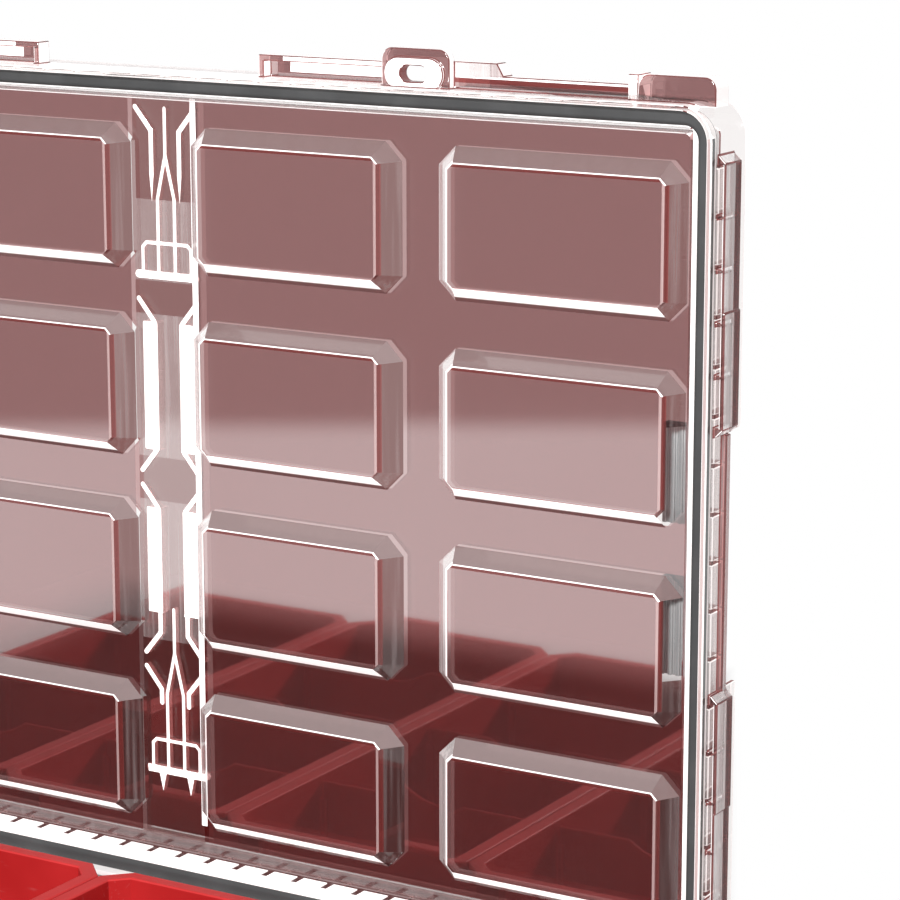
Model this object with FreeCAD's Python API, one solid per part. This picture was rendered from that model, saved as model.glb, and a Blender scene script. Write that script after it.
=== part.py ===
"""Small-parts organizer: lift-out bins in a tray under a clear gasketed lid, which stands open.

Millimetres, +Z up, front of the case at -Y. The origin is the centre of the tray's underside.
The lid and the latches are drawn closed and then turned about their pins to the open rest pose.
"""

import FreeCAD
import Part
import math
import os

from FreeCAD import Vector

os.makedirs("parts", exist_ok=True)

# Compartment grid
column_count = 4
row_count = 4
bin_pitch = 105.4
row_pitch = 68.0

# Lift-out bins
bin_gap = 0.6
bin_end_trim = 3.0
bin_rise = 10.8
bin_wall = 1.6
bin_floor = 1.8
bin_draft = 1.6
bin_corner = 9.0
rim_overhang = 4.0
rim_thickness = 2.2
rim_round = 0.8
guide_depth = 3.0
guide_width = 1.6
guide_drop = 9.0

# Dividers
divider_thickness = 1.5
divider_side_gap = 0.4
divider_slot_gap = 0.15
divider_seat_gap = 0.2
divider_drop = 2.5
scoop_radius = 26.0
scoop_depth = 6.0

# Base tray
base_height = 58.0
base_wall = 2.6
base_floor = 2.5
foot_height = 4.0
foot_size = 34.0
foot_inset = 12.0
centre_foot_size = 40.0
flange_thickness = 2.5
flange_gap = 1.0
flange_setback = 1.5
wall_rib_thickness = 2.0
wall_rib_pitch = 26.0
wall_rib_margin = 14.0
wall_rib_low = 10.0
locating_rib_thickness = 4.0
locating_rib_height = 8.0
locating_rib_end = 14.0

# Lid panel, skirt and rim
skirt_gap_x = 1.7
skirt_gap_y = 3.7
skirt_corner = 2.2
skirt_wall = 2.6
skirt_lift = 1.5
skirt_drop = 3.0
outer_wall = 1.8
panel_thickness = 2.5
panel_headroom = 2.2
ridge_height = 6.5
groove_web = 2.0
channel_rib = 1.4
side_rib_pitch = 16.0
end_rib_pitch = 12.7
channel_corner = 10.0

# Raised pads on the lid's inner face
pad_height = 6.2
pad_bevel = 5.2
pad_side_bevel = 6.8
pad_wall_bevel = 5.6
pad_base_corner = 6.5
pad_face_corner = 2.0
pad_round = 0.7
pad_hollow_rise = 0.4
pad_row_gap = 26.6
inner_pad_spine_inset = 13.8
inner_pad_far_inset = 6.9
outer_pad_near_inset = 9.1
outer_pad_wall_inset = 4.3

# Spine on the lid's outer face
spine_channel_half = 4.8
spine_band = 6.2
spine_band_height = 4.4
spine_rib = 1.8
spine_rib_height = 2.4
spine_rib_x = 6.0
spine_arm_x = 12.6
spine_arm_run = 8.0
spine_window_length = 5.4
spine_neck = 7.5
spine_stub = 5.0
spine_front_inset = 4.7
blade_length = 15.5
blade_tip = 9.8
fork_rib = 1.3
fork_half = 3.6
fork_stem = 16.5
fork_run = 15.5
rear_fork_start = 20.0
frame_rib = 1.2
frame_half = 10.4
frame_length = 11.5
frame_round = 1.6
bar_width = 2.8
bar_half = 12.4
front_bar_inset = 6.2
rear_bar_reach = 41.5
spine_foot_x = 6.2
spine_foot_half = 1.8
spine_foot_length = 8.2

# Gasket
gasket_width = 5.0
gasket_height = 4.2
gasket_round = 1.5
gasket_side_gap = 0.05
seal_gap = 0.3

# Side ears of the lid
recess_half = 42.5
recess_lift = 0.6
ear_width = 3.4
ear_wall = 1.0
ear_floor = 2.0
ear_chamfer = 2.5
ear_step = 0.5
ear_step_length = 40.0
ear_end_inset = 6.0

# Stacking cleats on the lid's outer face
cleat_bar_in = 5.2
cleat_bar_out = 0.6
cleat_bar_height = 5.5
cleat_half = 42.5
cleat_pad_in = 15.6
cleat_pad_near = 9.0
cleat_pad_lift = 0.6
cleat_pad_height = 3.4
cleat_groove = 1.2
cleat_groove_depth = 0.9
cleat_groove_pitch = 2.8
cleat_groove_count = 3

# Lid's front edge: catches, padlock tabs and small tabs
catch_inner = 47.0
catch_width = 51.0
catch_reach = 12.0
catch_lift = 4.0
catch_drop = 1.0
catch_wall = 2.0
tab_width = 26.0
tab_reach = 17.0
tab_thickness = 3.5
tab_lift = 2.0
tab_round = 4.0
slot_length = 10.4
slot_width = 5.4
slot_edge = 8.2
slot_collar = 2.6
slot_collar_end = 6.0
slot_collar_rise = 1.2
block_width = 10.0
block_reach = 13.2
slant_top = 6.0
slant_width = 2.5
rail_reach = 9.0
post_width = 3.5
post_reach = 12.5
rail_height = 6.0
corner_tab_width = 27.2
corner_tab_inset = 1.4
corner_tab_reach = 12.7

# Hinge
hinge_standoff = 6.9
hinge_drop = 6.6
hinge_centre = 130.0
knuckle_length = 40.0
knuckle_radius = 4.2
knuckle_height = 13.0
hinge_ear_length = 8.0
hinge_ear_depth = 9.0
hinge_side_gap = 0.5
hinge_pin_radius = 1.6
hinge_stop_gap = 0.3
hinge_stop_thickness = 4.0
hinge_stop_reach = 9.0
lid_open_angle = 90.0

# Latches
latch_side_gap = 0.6
latch_catch_inset = 1.0
latch_plate = 3.0
latch_gap = 1.0
latch_lift = 0.3
latch_barrel = 3.6
latch_pivot_drop = 12.0
hook_thickness = 3.0
hook_cover = 4.0
lip_reach = 4.0
lip_thickness = 3.0
lip_drop = 3.5
lip_inset = 5.0
latch_groove_width = 2.4
latch_groove_depth = 0.8
latch_groove_count = 3
latch_groove_pitch = 6.0
latch_ear = 4.0
latch_pin_radius = 1.5
latch_stop_gap = 0.4
latch_stop_thickness = 3.0
latch_rest_gap = 0.2
latch_open_angle = 115.0
side_latch_width = 77.8
side_catch_reach = 2.1
side_catch_low = 6.0
side_catch_height = 3.0
side_latch_gap = 0.75
side_hook_cover = 1.6

# Carry handle
handle_standoff = 9.5
handle_pivot_drop = 22.0
handle_grip_axis = 10.5
handle_arm_width = 6.0
handle_arm_half = 4.5
handle_bar_radius = 4.2
handle_side_gap = 0.7
handle_pin_radius = 1.5
handle_pin_head = 2.6
handle_pin_head_thickness = 1.2
grip_radius = 6.0
grip_end_gap = 3.0
grip_round = 1.4

# Shared clearances
pin_clearance = 0.05
overrun = 5.0

# Heights worked out from the sizes above
tray_floor = foot_height + base_floor
rim_height = base_height + bin_rise
panel_low = rim_height + panel_headroom
panel_top = panel_low + panel_thickness
lid_top = panel_top + ridge_height
pad_face = panel_low - pad_height
skirt_low = base_height + skirt_lift
outer_low = base_height - skirt_drop
groove_top = base_height + seal_gap + gasket_height
web_top = groove_top + groove_web
flange_top = outer_low - flange_gap
flange_low = flange_top - flange_thickness

# Plan sizes worked out from the sizes above
bin_width = bin_pitch - bin_gap
bin_length = row_count * row_pitch - bin_end_trim
opening_half_x = bin_width / 2 - rim_overhang - bin_wall
opening_half_y = bin_length / 2 - rim_overhang - bin_wall
skirt_x = (column_count * bin_pitch - bin_gap) / 2 + skirt_gap_x
skirt_y = bin_length / 2 + skirt_gap_y
gasket_in = skirt_wall
gasket_out = gasket_in + gasket_width
gasket_mid = gasket_in + gasket_width / 2
lid_out = gasket_out + outer_wall
base_out = gasket_mid + base_wall / 2
base_in = gasket_mid - base_wall / 2
flange_out = lid_out - flange_setback
base_x = skirt_x + base_out
base_y = skirt_y + base_out
lid_x = skirt_x + lid_out
lid_y = skirt_y + lid_out
seal_y = skirt_y + gasket_mid

# Hinge axis
hinge_y = base_y + hinge_standoff
hinge_z = base_height - hinge_drop

# Latch pivots
catch_outer = catch_inner + catch_width
catch_top = panel_low - catch_drop
catch_low = skirt_low + catch_lift
latch_width = catch_width - 2 * latch_catch_inset
latch_x = catch_inner + catch_width / 2
latch_y = seal_y + catch_reach + latch_gap + latch_plate / 2
latch_z = base_height - latch_pivot_drop
latch_ear_near = latch_width / 2 + latch_side_gap
latch_ear_far = latch_ear_near + latch_ear
side_latch_x = lid_x + side_catch_reach + side_latch_gap + latch_plate / 2
side_catch_top = skirt_low + side_catch_low + side_catch_height

# Padlock slot
tab_outer = catch_outer + tab_width
slot_x = catch_outer + tab_width / 2
slot_y = seal_y + tab_reach - slot_edge

# Handle
handle_half = latch_x - latch_ear_far - handle_side_gap
handle_y = base_y + handle_standoff
handle_z = base_height - handle_pivot_drop


def box(x_low, x_high, y_low, y_high, z_low, z_high):
    """Box between two corners."""
    return Part.makeBox(x_high - x_low, y_high - y_low, z_high - z_low, Vector(x_low, y_low, z_low))


def prism(points, z_low, z_high):
    """Upright prism on a plan polygon."""
    corners = [Vector(x, y, z_low) for x, y in points]
    face = Part.Face(Part.makePolygon(corners + corners[:1]))
    return face.extrude(Vector(0, 0, z_high - z_low))


def x_cylinder(radius, x_low, x_high, y, z):
    """Cylinder along X."""
    return Part.makeCylinder(radius, x_high - x_low, Vector(x_low, y, z), Vector(1, 0, 0))


def rounded_block(half_x, half_y, radius, z_low, z_high):
    """Upright block centred on the origin with rounded plan corners."""
    block = box(-half_x, half_x, -half_y, half_y, z_low, z_high)
    return block.makeFillet(radius, upright_edges(block))


def upright_edges(shape):
    """The edges of a prism that run along Z."""
    return [edge for edge in shape.Edges if abs(edge.tangentAt(edge.FirstParameter).z) == 1]


def edges_at(shape, height):
    """The edges that lie in one horizontal plane."""
    box_of = [(edge, edge.BoundBox) for edge in shape.Edges]
    flat = [edge for edge, limits in box_of if math.isclose(limits.ZMin, limits.ZMax, abs_tol=1e-6)]
    return [edge for edge in flat if math.isclose(edge.BoundBox.ZMin, height, abs_tol=1e-6)]


def frame_block(offset, z_low, z_high):
    """Block whose sides follow the skirt's inner face, moved outwards by an offset."""
    return rounded_block(skirt_x + offset, skirt_y + offset, skirt_corner + offset, z_low, z_high)


def frame_ring(inner, outer, z_low, z_high):
    """Ring between two offsets from the skirt's inner face."""
    hole = frame_block(inner, z_low - overrun, z_high + overrun)
    return frame_block(outer, z_low, z_high).cut(hole)


def octagon(half_x, half_y, corner, z):
    """Rectangle with cut corners, as a closed wire."""
    quarter = [(half_x, half_y - corner), (half_x - corner, half_y)]
    upper = quarter + [(-x, y) for x, y in reversed(quarter)]
    loop = upper + [(-x, -y) for x, y in upper]
    corners = [Vector(x, y, z) for x, y in loop]
    return Part.makePolygon(corners + corners[:1])


def frustum(low_wire, high_wire):
    """Solid with flat sides between two like outlines."""
    return Part.makeLoft([low_wire, high_wire], True, True)


def inset_corner(corner, inset):
    """Corner cut of an octagon that is offset inwards."""
    return corner - inset * (2 - math.sqrt(2))


def stadium(length, width, x, y, z_low, z_high):
    """Upright prism with straight sides along X and round ends."""
    half = (length - width) / 2
    middle = box(x - half, x + half, y - width / 2, y + width / 2, z_low, z_high)
    ends = [
        Part.makeCylinder(width / 2, z_high - z_low, Vector(x + side * half, y, z_low)) for side in (-1, 1)
    ]
    return middle.fuse(ends).removeSplitter()


def mirrored(shape):
    """The same piece on the other side of the case."""
    return shape.mirror(Vector(0, 0, 0), Vector(1, 0, 0))


def both_sides(shapes):
    """Pieces together with their mirror images."""
    return shapes + [mirrored(shape) for shape in shapes]


def turned(shape, y, z, angle):
    """Copy turned about an axis along X."""
    copy = shape.copy()
    copy.rotate(Vector(0, y, z), Vector(1, 0, 0), angle)
    return copy


def spaced(half_span, pitch):
    """Middles and length of the equal steps that fill a span about zero."""
    count = max(1, int(2 * half_span / pitch))
    step = 2 * half_span / count
    return [-half_span + step * (index + 1 / 2) for index in range(count)], step


def row_centres():
    """Middles of the compartments from front to back."""
    return [(index - (row_count - 1) / 2) * row_pitch for index in range(row_count)]


def divider_places():
    """Lines between the compartments from front to back."""
    return [(index - row_count / 2) * row_pitch for index in range(1, row_count)]


def make_bin():
    """One bin, centred across its own width: drafted shell, rolled rim and divider guides."""
    half_x = bin_width / 2 - rim_overhang
    half_y = bin_length / 2 - rim_overhang
    corner = inset_corner(bin_corner, rim_overhang)
    outer = frustum(
        octagon(half_x - bin_draft, half_y - bin_draft, corner, tray_floor),
        octagon(half_x, half_y, corner, rim_height),
    )
    hollow_corner = inset_corner(bin_corner, rim_overhang + bin_wall)
    hollow = frustum(
        octagon(opening_half_x - bin_draft, opening_half_y - bin_draft, hollow_corner, tray_floor + bin_floor),
        octagon(opening_half_x, opening_half_y, hollow_corner, rim_height + bin_floor),
    )
    rim_face = Part.Face(octagon(bin_width / 2, bin_length / 2, bin_corner, rim_height - rim_thickness))
    rim = rim_face.extrude(Vector(0, 0, rim_thickness))
    shell = outer.fuse(rim).removeSplitter().cut(hollow)
    shell = shell.makeFillet(rim_round, edges_at(shell, rim_height))
    guides = []
    slot_half = divider_thickness / 2 + divider_slot_gap
    for place in divider_places():
        for near, far in ((-slot_half - guide_width, -slot_half), (slot_half, slot_half + guide_width)):
            bar = box(
                opening_half_x - guide_depth,
                half_x,
                place + near,
                place + far,
                tray_floor + bin_floor / 2,
                rim_height - guide_drop,
            )
            guides += [bar.common(outer), mirrored(bar).common(outer)]
    return shell.fuse(guides).removeSplitter()


def make_divider():
    """One divider, centred on its own plane, with a finger scoop in its top edge."""
    low = tray_floor + bin_floor + divider_seat_gap
    high = rim_height - divider_drop
    slope = bin_draft / (rim_height - tray_floor)
    half_top = opening_half_x - divider_side_gap - slope * (rim_height + bin_floor - high)
    half_low = opening_half_x - divider_side_gap - slope * (rim_height + bin_floor - low)
    points = [(-half_low, low), (half_low, low), (half_top, high), (-half_top, high)]
    corners = [Vector(x, -divider_thickness / 2, z) for x, z in points]
    plate = Part.Face(Part.makePolygon(corners + corners[:1])).extrude(Vector(0, divider_thickness, 0))
    scoop_centre = Vector(0, -divider_thickness, high + scoop_radius - scoop_depth)
    scoop = Part.makeCylinder(scoop_radius, 2 * divider_thickness, scoop_centre, Vector(0, 1, 0))
    return plate.cut(scoop)


def latch_bracket(width, wall_distance):
    """Ears and stop shelf of a latch, with the pin's axis on the local origin and -Y outwards."""
    root = wall_distance + base_wall / 2
    near = width / 2 + latch_side_gap
    far = near + latch_ear
    shelf_top = -latch_barrel - latch_stop_gap
    open_angle = math.radians(latch_open_angle)
    stand_off = latch_plate / 2 + latch_rest_gap
    along = (shelf_top + stand_off * math.sin(open_angle)) / math.cos(open_angle)
    shelf_reach = stand_off * math.cos(open_angle) + along * math.sin(open_angle)
    pieces = [box(-near, near, -shelf_reach, root, shelf_top - latch_stop_thickness, shelf_top)]
    for low, high in ((-far, -near), (near, far)):
        pieces.append(x_cylinder(latch_barrel, low, high, 0, 0))
        pieces.append(box(low, high, 0, root, shelf_top - latch_stop_thickness, latch_barrel))
    bracket = pieces[0].fuse(pieces[1:]).removeSplitter()
    return bracket.cut(x_cylinder(latch_pin_radius + pin_clearance, -far - overrun, far + overrun, 0, 0))


def make_latch(width, hook_underside, cover):
    """Closed latch with its pin's axis on the local origin: barrel, plate, hook and pull lip."""
    half = width / 2
    face = latch_plate / 2
    top = hook_underside + hook_thickness
    barrel = x_cylinder(latch_barrel, -half, half, 0, 0)
    plate = box(-half, half, -face, face, 0, top)
    hook = box(-half, half, -face, face + cover, hook_underside, top)
    lip_high = top - lip_drop
    lip = box(-half + lip_inset, half - lip_inset, -face - lip_reach, face, lip_high - lip_thickness, lip_high)
    body = barrel.fuse([plate, hook, lip]).removeSplitter()
    cuts = [x_cylinder(latch_pin_radius + pin_clearance, -half - overrun, half + overrun, 0, 0)]
    groove_low = latch_barrel + latch_groove_width
    groove_high = lip_high - lip_thickness - latch_groove_width
    for index in range(latch_groove_count):
        middle = (index - (latch_groove_count - 1) / 2) * latch_groove_pitch
        low = middle - latch_groove_width / 2
        high = middle + latch_groove_width / 2
        cuts.append(box(low, high, -face - overrun, -face + latch_groove_depth, groove_low, groove_high))
    return body.cut(cuts)


def front_place(shape):
    """Move a latch piece from its own axes to the right-hand front catch."""
    return shape.translated(Vector(latch_x, -latch_y, latch_z))


def side_place(shape):
    """Move a latch piece from its own axes to the right-hand side."""
    copy = shape.copy()
    copy.rotate(Vector(0, 0, 0), Vector(0, 0, 1), 90)
    return copy.translated(Vector(side_latch_x, 0, latch_z))


def make_handle_ear():
    """Right-hand ear that carries the handle's pin, beside the latch's inner ear."""
    low = latch_x - latch_ear_far
    high = latch_x - latch_ear_near
    eye = x_cylinder(handle_arm_half, low, high, -handle_y, handle_z)
    wall = -base_y + base_wall / 2
    root = box(low, high, -handle_y, wall, handle_z - handle_arm_half, handle_z + handle_arm_half)
    bore = x_cylinder(handle_pin_radius + pin_clearance, low - overrun, high + overrun, -handle_y, handle_z)
    return eye.fuse(root).removeSplitter().cut(bore)


def make_base():
    """Tray: tub, flange, wall ribs, locating ribs, feet, hinge ears, latch brackets and padlock tabs."""
    tub = frame_block(base_out, foot_height, base_height).cut(
        frame_block(base_in, tray_floor, base_height + overrun)
    )
    pieces = [frame_ring(base_in, flange_out, flange_low, flange_top)]
    rib_reach = flange_out - base_out
    for middle in spaced(base_x - wall_rib_margin, wall_rib_pitch)[0]:
        low = middle - wall_rib_thickness / 2
        for y_low in (-base_y - rib_reach, base_y - base_wall / 2):
            high = y_low + rib_reach + base_wall / 2
            pieces.append(box(low, low + wall_rib_thickness, y_low, high, wall_rib_low, flange_top))
    for middle in spaced(base_y - wall_rib_margin, wall_rib_pitch)[0]:
        low = middle - wall_rib_thickness / 2
        high = low + wall_rib_thickness
        rib = box(base_x - base_wall / 2, base_x + rib_reach, low, high, wall_rib_low, flange_top)
        pieces += both_sides([rib])
    for index in range(1, column_count):
        middle = (index - column_count / 2) * bin_pitch
        half = locating_rib_thickness / 2
        reach = skirt_y - locating_rib_end
        rib_top = tray_floor + locating_rib_height
        pieces.append(box(middle - half, middle + half, -reach, reach, foot_height, rib_top))
    foot = box(-foot_size / 2, foot_size / 2, -foot_size / 2, foot_size / 2, 0, tray_floor)
    foot_x = base_x - foot_inset - foot_size / 2
    foot_y = base_y - foot_inset - foot_size / 2
    pieces += [foot.translated(Vector(x, y, 0)) for x in (-foot_x, foot_x) for y in (-foot_y, foot_y)]
    centre = centre_foot_size / 2
    pieces.append(box(-centre, centre, -centre, centre, 0, tray_floor))
    pieces += both_sides(hinge_ears())
    pieces += both_sides([front_place(latch_bracket(latch_width, latch_y - base_y)), make_handle_ear()])
    pieces += both_sides([side_place(latch_bracket(side_latch_width, side_latch_x - base_x))])
    pieces += both_sides([padlock_tab()])
    return tub.fuse(pieces).removeSplitter()


def hinge_ears():
    """Right-hand hinge ears of the tray, and the shelf that stops the open lid."""
    root = base_y - base_wall / 2
    half = knuckle_length / 2
    ears = []
    for low in (hinge_centre - half - hinge_side_gap - hinge_ear_length, hinge_centre + half + hinge_side_gap):
        high = low + hinge_ear_length
        barrel = x_cylinder(knuckle_radius, low, high, hinge_y, hinge_z)
        arm = box(low, high, root, hinge_y, hinge_z - hinge_ear_depth, hinge_z)
        bore = x_cylinder(hinge_pin_radius + pin_clearance, low - overrun, high + overrun, hinge_y, hinge_z)
        ears.append(barrel.fuse(arm).removeSplitter().cut(bore))
    stop_top = hinge_z - knuckle_radius - hinge_stop_gap
    stop = box(
        hinge_centre - half,
        hinge_centre + half,
        root,
        hinge_y + hinge_stop_reach,
        stop_top - hinge_stop_thickness,
        stop_top,
    )
    return ears + [stop]


def padlock_tab():
    """Right-hand tab of the tray, under the lid's own tab, with the same slot."""
    low = latch_x + latch_ear_far
    reach = seal_y + tab_reach
    top = outer_low - flange_gap
    plate = box(low, tab_outer, -reach, -base_y + base_wall / 2, top - tab_thickness, top)
    corners = [edge for edge in upright_edges(plate) if math.isclose(edge.BoundBox.YMin, -reach)]
    plate = plate.makeFillet(tab_round, corners)
    slot_low = top - tab_thickness - overrun
    return plate.cut(stadium(slot_length, slot_width, slot_x, -slot_y, slot_low, top + overrun))


def pad_spans():
    """Near and far edge of each right-hand pad's face, and the bevels there, from the spine outwards."""
    insets = ((inner_pad_spine_inset, inner_pad_far_inset), (outer_pad_near_inset, outer_pad_wall_inset))
    far_bevels = (pad_side_bevel, pad_wall_bevel)
    spans = []
    for index, ((near, far), far_bevel) in enumerate(zip(insets, far_bevels)):
        middle = (index + 1 / 2) * bin_pitch
        x_low = middle - opening_half_x + near
        x_high = middle + opening_half_x - far
        spans.append((x_low, x_high, pad_side_bevel, far_bevel))
    return spans


def pad_outline(x_low, x_high, half_y, corner, z):
    """Outline of a pad at one height."""
    middle = (x_low + x_high) / 2
    wire = octagon((x_high - x_low) / 2, half_y, corner, z)
    wire.translate(Vector(middle, 0, 0))
    return wire


def pad_solid(span, rise):
    """Raised pad under the panel, as its solid or, lifted and taller, as the hollow behind it."""
    near, far, near_bevel, far_bevel = span
    half_y = (row_pitch - pad_row_gap) / 2
    grow = (pad_height + rise) / pad_height
    return frustum(
        pad_outline(near, far, half_y, pad_face_corner, pad_face),
        pad_outline(
            near - near_bevel * grow,
            far + far_bevel * grow,
            half_y + pad_bevel * grow,
            pad_base_corner,
            panel_low + rise,
        ),
    )


def lid_pads():
    """All raised pads of the lid, and the hollows behind them."""
    pads = []
    hollows = []
    for span in pad_spans():
        pad = pad_solid(span, 0)
        pad = pad.makeFillet(pad_round, edges_at(pad, pad_face))
        hollow = pad_solid(span, pad_hollow_rise).translated(Vector(0, 0, panel_thickness))
        for row in row_centres():
            pads += both_sides([pad.translated(Vector(0, row, 0))])
            hollows += both_sides([hollow.translated(Vector(0, row, 0))])
    return pads, hollows


def rib_path(points, width, z_low, z_high):
    """Slim upright rib along a plan line, round at its ends and corners."""
    half = width / 2
    pieces = [Part.makeCylinder(half, z_high - z_low, Vector(x, y, z_low)) for x, y in points]
    for (x_from, y_from), (x_to, y_to) in zip(points, points[1:]):
        length = math.hypot(x_to - x_from, y_to - y_from)
        side_x = half * (y_to - y_from) / length
        side_y = half * (x_from - x_to) / length
        corners = [
            (x_from + side_x, y_from + side_y),
            (x_to + side_x, y_to + side_y),
            (x_to - side_x, y_to - side_y),
            (x_from - side_x, y_from - side_y),
        ]
        pieces.append(prism(corners, z_low, z_high))
    return pieces[0].fuse(pieces[1:]).removeSplitter()


def spine_arm(gap, outward, run):
    """Right-hand arm's line from the end of a window in to the channel, and on along it."""
    start = gap + outward * spine_window_length / 2
    bend = start + outward * spine_arm_run
    return [(spine_arm_x, start), (spine_rib_x, bend), (spine_rib_x, bend + outward * run)]


def spine_fork(start, end, low, top):
    """Rib on the middle line that splits in two."""
    split = start + fork_stem
    leg_line = [(0, split), (fork_half, split + fork_run), (fork_half, end)]
    stem = rib_path([(0, start), (0, split)], fork_rib, low, top)
    return [stem] + both_sides([rib_path(leg_line, fork_rib, low, top)])


def spine_frame(bar, low, top):
    """Cross bar with a round-cornered frame on its front side."""
    far = bar - frame_length
    half_line = [(frame_half, bar), (frame_half, far + frame_round), (frame_half - frame_round, far)]
    line = half_line + [(-x, y) for x, y in reversed(half_line)]
    cross = rib_path([(-bar_half, bar), (bar_half, bar)], bar_width, low, top)
    return [cross, rib_path(line, frame_rib, low, top)]


def lid_spine():
    """Spine on the outer face: bands beside the middle rows, slim ribs, forks and frames at the ends."""
    low = panel_top - panel_thickness / 2
    top = panel_top + spine_rib_height
    band_top = panel_top + spine_band_height
    window_end = spine_window_length / 2 + spine_arm_run
    band_out = spine_channel_half + spine_band
    neck_start = row_pitch - window_end - spine_neck
    front = -skirt_y + spine_front_inset
    blade_start = front + spine_arm_run
    front_bar = -row_pitch - front_bar_inset
    rear_bar = row_pitch + rear_bar_reach
    right = [
        box(spine_channel_half, band_out, -row_pitch + window_end, -window_end, low, band_top),
        box(spine_channel_half, band_out, window_end, neck_start, low, band_top),
    ]
    lines = [
        spine_arm(-row_pitch, 1, spine_rib),
        spine_arm(0, -1, spine_rib),
        spine_arm(0, 1, spine_rib),
        spine_arm(row_pitch, -1, spine_neck + spine_rib),
        spine_arm(row_pitch, 1, spine_stub),
        [(spine_arm_x, front), (spine_rib_x, blade_start)],
    ]
    for line in lines:
        right.append(rib_path(line, spine_rib, low, top))
    blade = [
        (spine_rib_x - spine_rib / 2, blade_start),
        (spine_rib_x + spine_rib / 2, blade_start),
        (spine_rib_x + spine_rib / 2, blade_start + blade_length),
        (spine_rib_x, blade_start + blade_length + blade_tip),
        (spine_rib_x - spine_rib / 2, blade_start + blade_length),
    ]
    foot = [
        (spine_foot_x - spine_foot_half, rear_bar),
        (spine_foot_x + spine_foot_half, rear_bar),
        (spine_foot_x, rear_bar + spine_foot_length),
    ]
    right += [prism(blade, low, top), prism(foot, low, top)]
    pieces = both_sides(right)
    pieces += spine_fork(front, front_bar, low, top)
    pieces += spine_fork(row_pitch - rear_fork_start, rear_bar, low, top)
    pieces += spine_frame(front_bar, low, top) + spine_frame(rear_bar, low, top)
    return pieces


def channel_pockets():
    """Hollows of the ribbed channel round the lid's rim, open at the top."""
    pockets = []
    top = lid_top + overrun
    middles, step = spaced(skirt_x - channel_corner, end_rib_pitch)
    half = (step - channel_rib) / 2
    for middle in middles:
        for y_low in (skirt_y + gasket_in, -skirt_y - gasket_out):
            pockets.append(box(middle - half, middle + half, y_low, y_low + gasket_width, web_top, top))
    middles, step = spaced(skirt_y - channel_corner, side_rib_pitch)
    half = (step - channel_rib) / 2
    for middle in middles:
        x_low = skirt_x + gasket_in
        pocket = box(x_low, x_low + gasket_width, middle - half, middle + half, web_top, top)
        pockets += both_sides([pocket])
    return pockets


def side_ears():
    """Ears at both ends of the lid's right side, and the pockets that make them hollow."""
    inner = lid_x - outer_wall / 2
    outer = lid_x + ear_width
    end = skirt_y - ear_end_inset
    step_at = recess_half + ear_step_length
    outline = [
        (inner, recess_half),
        (outer - ear_chamfer, recess_half),
        (outer, recess_half + ear_chamfer),
        (outer, step_at),
        (outer - ear_step, step_at),
        (outer - ear_step, end - ear_chamfer),
        (outer - ear_step - ear_chamfer, end),
        (inner, end),
    ]
    ears = [prism(outline, skirt_low, panel_low)]
    ears.append(prism([(x, -y) for x, y in outline], skirt_low, panel_low))
    pockets = []
    middle = (recess_half + end) / 2
    reach = (end - recess_half) / 2 - ear_chamfer
    places, step = spaced(reach, side_rib_pitch)
    half = (step - channel_rib) / 2
    for place in places:
        for y in (middle + place, -middle - place):
            high = outer - ear_step - ear_wall
            pockets.append(box(lid_x, high, y - half, y + half, skirt_low - overrun, panel_low - ear_floor))
    return ears, pockets


def front_edge():
    """Right-hand features of the lid's front edge, and the hollows in them."""
    wall = -lid_y + outer_wall / 2
    catch_front = -seal_y - catch_reach
    catch = box(catch_inner, catch_outer, catch_front, wall, catch_low, catch_top)
    cell = box(
        catch_inner + catch_wall,
        catch_outer - catch_wall,
        catch_front + catch_wall,
        -lid_y,
        catch_low - overrun,
        catch_top - catch_wall,
    )
    tab_front = -seal_y - tab_reach
    tab_low = skirt_low + tab_lift - slot_collar_rise
    tab = box(catch_outer, tab_outer, tab_front, wall, tab_low, tab_low + tab_thickness)
    rounded = [e for e in upright_edges(tab) if math.isclose(e.BoundBox.YMin, tab_front)]
    tab = tab.makeFillet(tab_round, rounded)
    collar = stadium(
        slot_length + 2 * slot_collar_end,
        slot_width + 2 * slot_collar,
        slot_x,
        -slot_y,
        tab_low - slot_collar_rise,
        tab_low + tab_thickness,
    )
    slot_top = tab_low + tab_thickness + overrun
    slot = stadium(slot_length, slot_width, slot_x, -slot_y, tab_low - overrun, slot_top)
    block_high = tab_outer + block_width
    block = box(tab_outer, block_high, -seal_y - block_reach, wall, catch_low, catch_top)
    slant_high = block_high + slant_top + slant_width
    slant_points = [
        (block_high, wall),
        (block_high, -seal_y - block_reach),
        (block_high + slant_top, -seal_y - block_reach),
        (slant_high, -seal_y - rail_reach),
        (slant_high, wall),
    ]
    slant = prism(slant_points, catch_low, catch_low + rail_height)
    corner_high = lid_x - corner_tab_inset
    corner_low = corner_high - corner_tab_width
    post_low = corner_low - post_width
    rail = box(slant_high, post_low, -seal_y - rail_reach, wall, catch_low, catch_low + rail_height)
    post = box(post_low, corner_low, -seal_y - post_reach, wall, tab_low, catch_low + rail_height)
    corner_front = -seal_y - corner_tab_reach
    corner = box(corner_low, corner_high, corner_front, wall, tab_low, catch_low + rail_height)
    rounded = [e for e in upright_edges(corner) if math.isclose(e.BoundBox.YMin, corner_front)]
    corner = corner.makeFillet(tab_round, rounded)
    return [catch, tab, collar, block, slant, rail, post, corner], [cell, slot]


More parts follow.
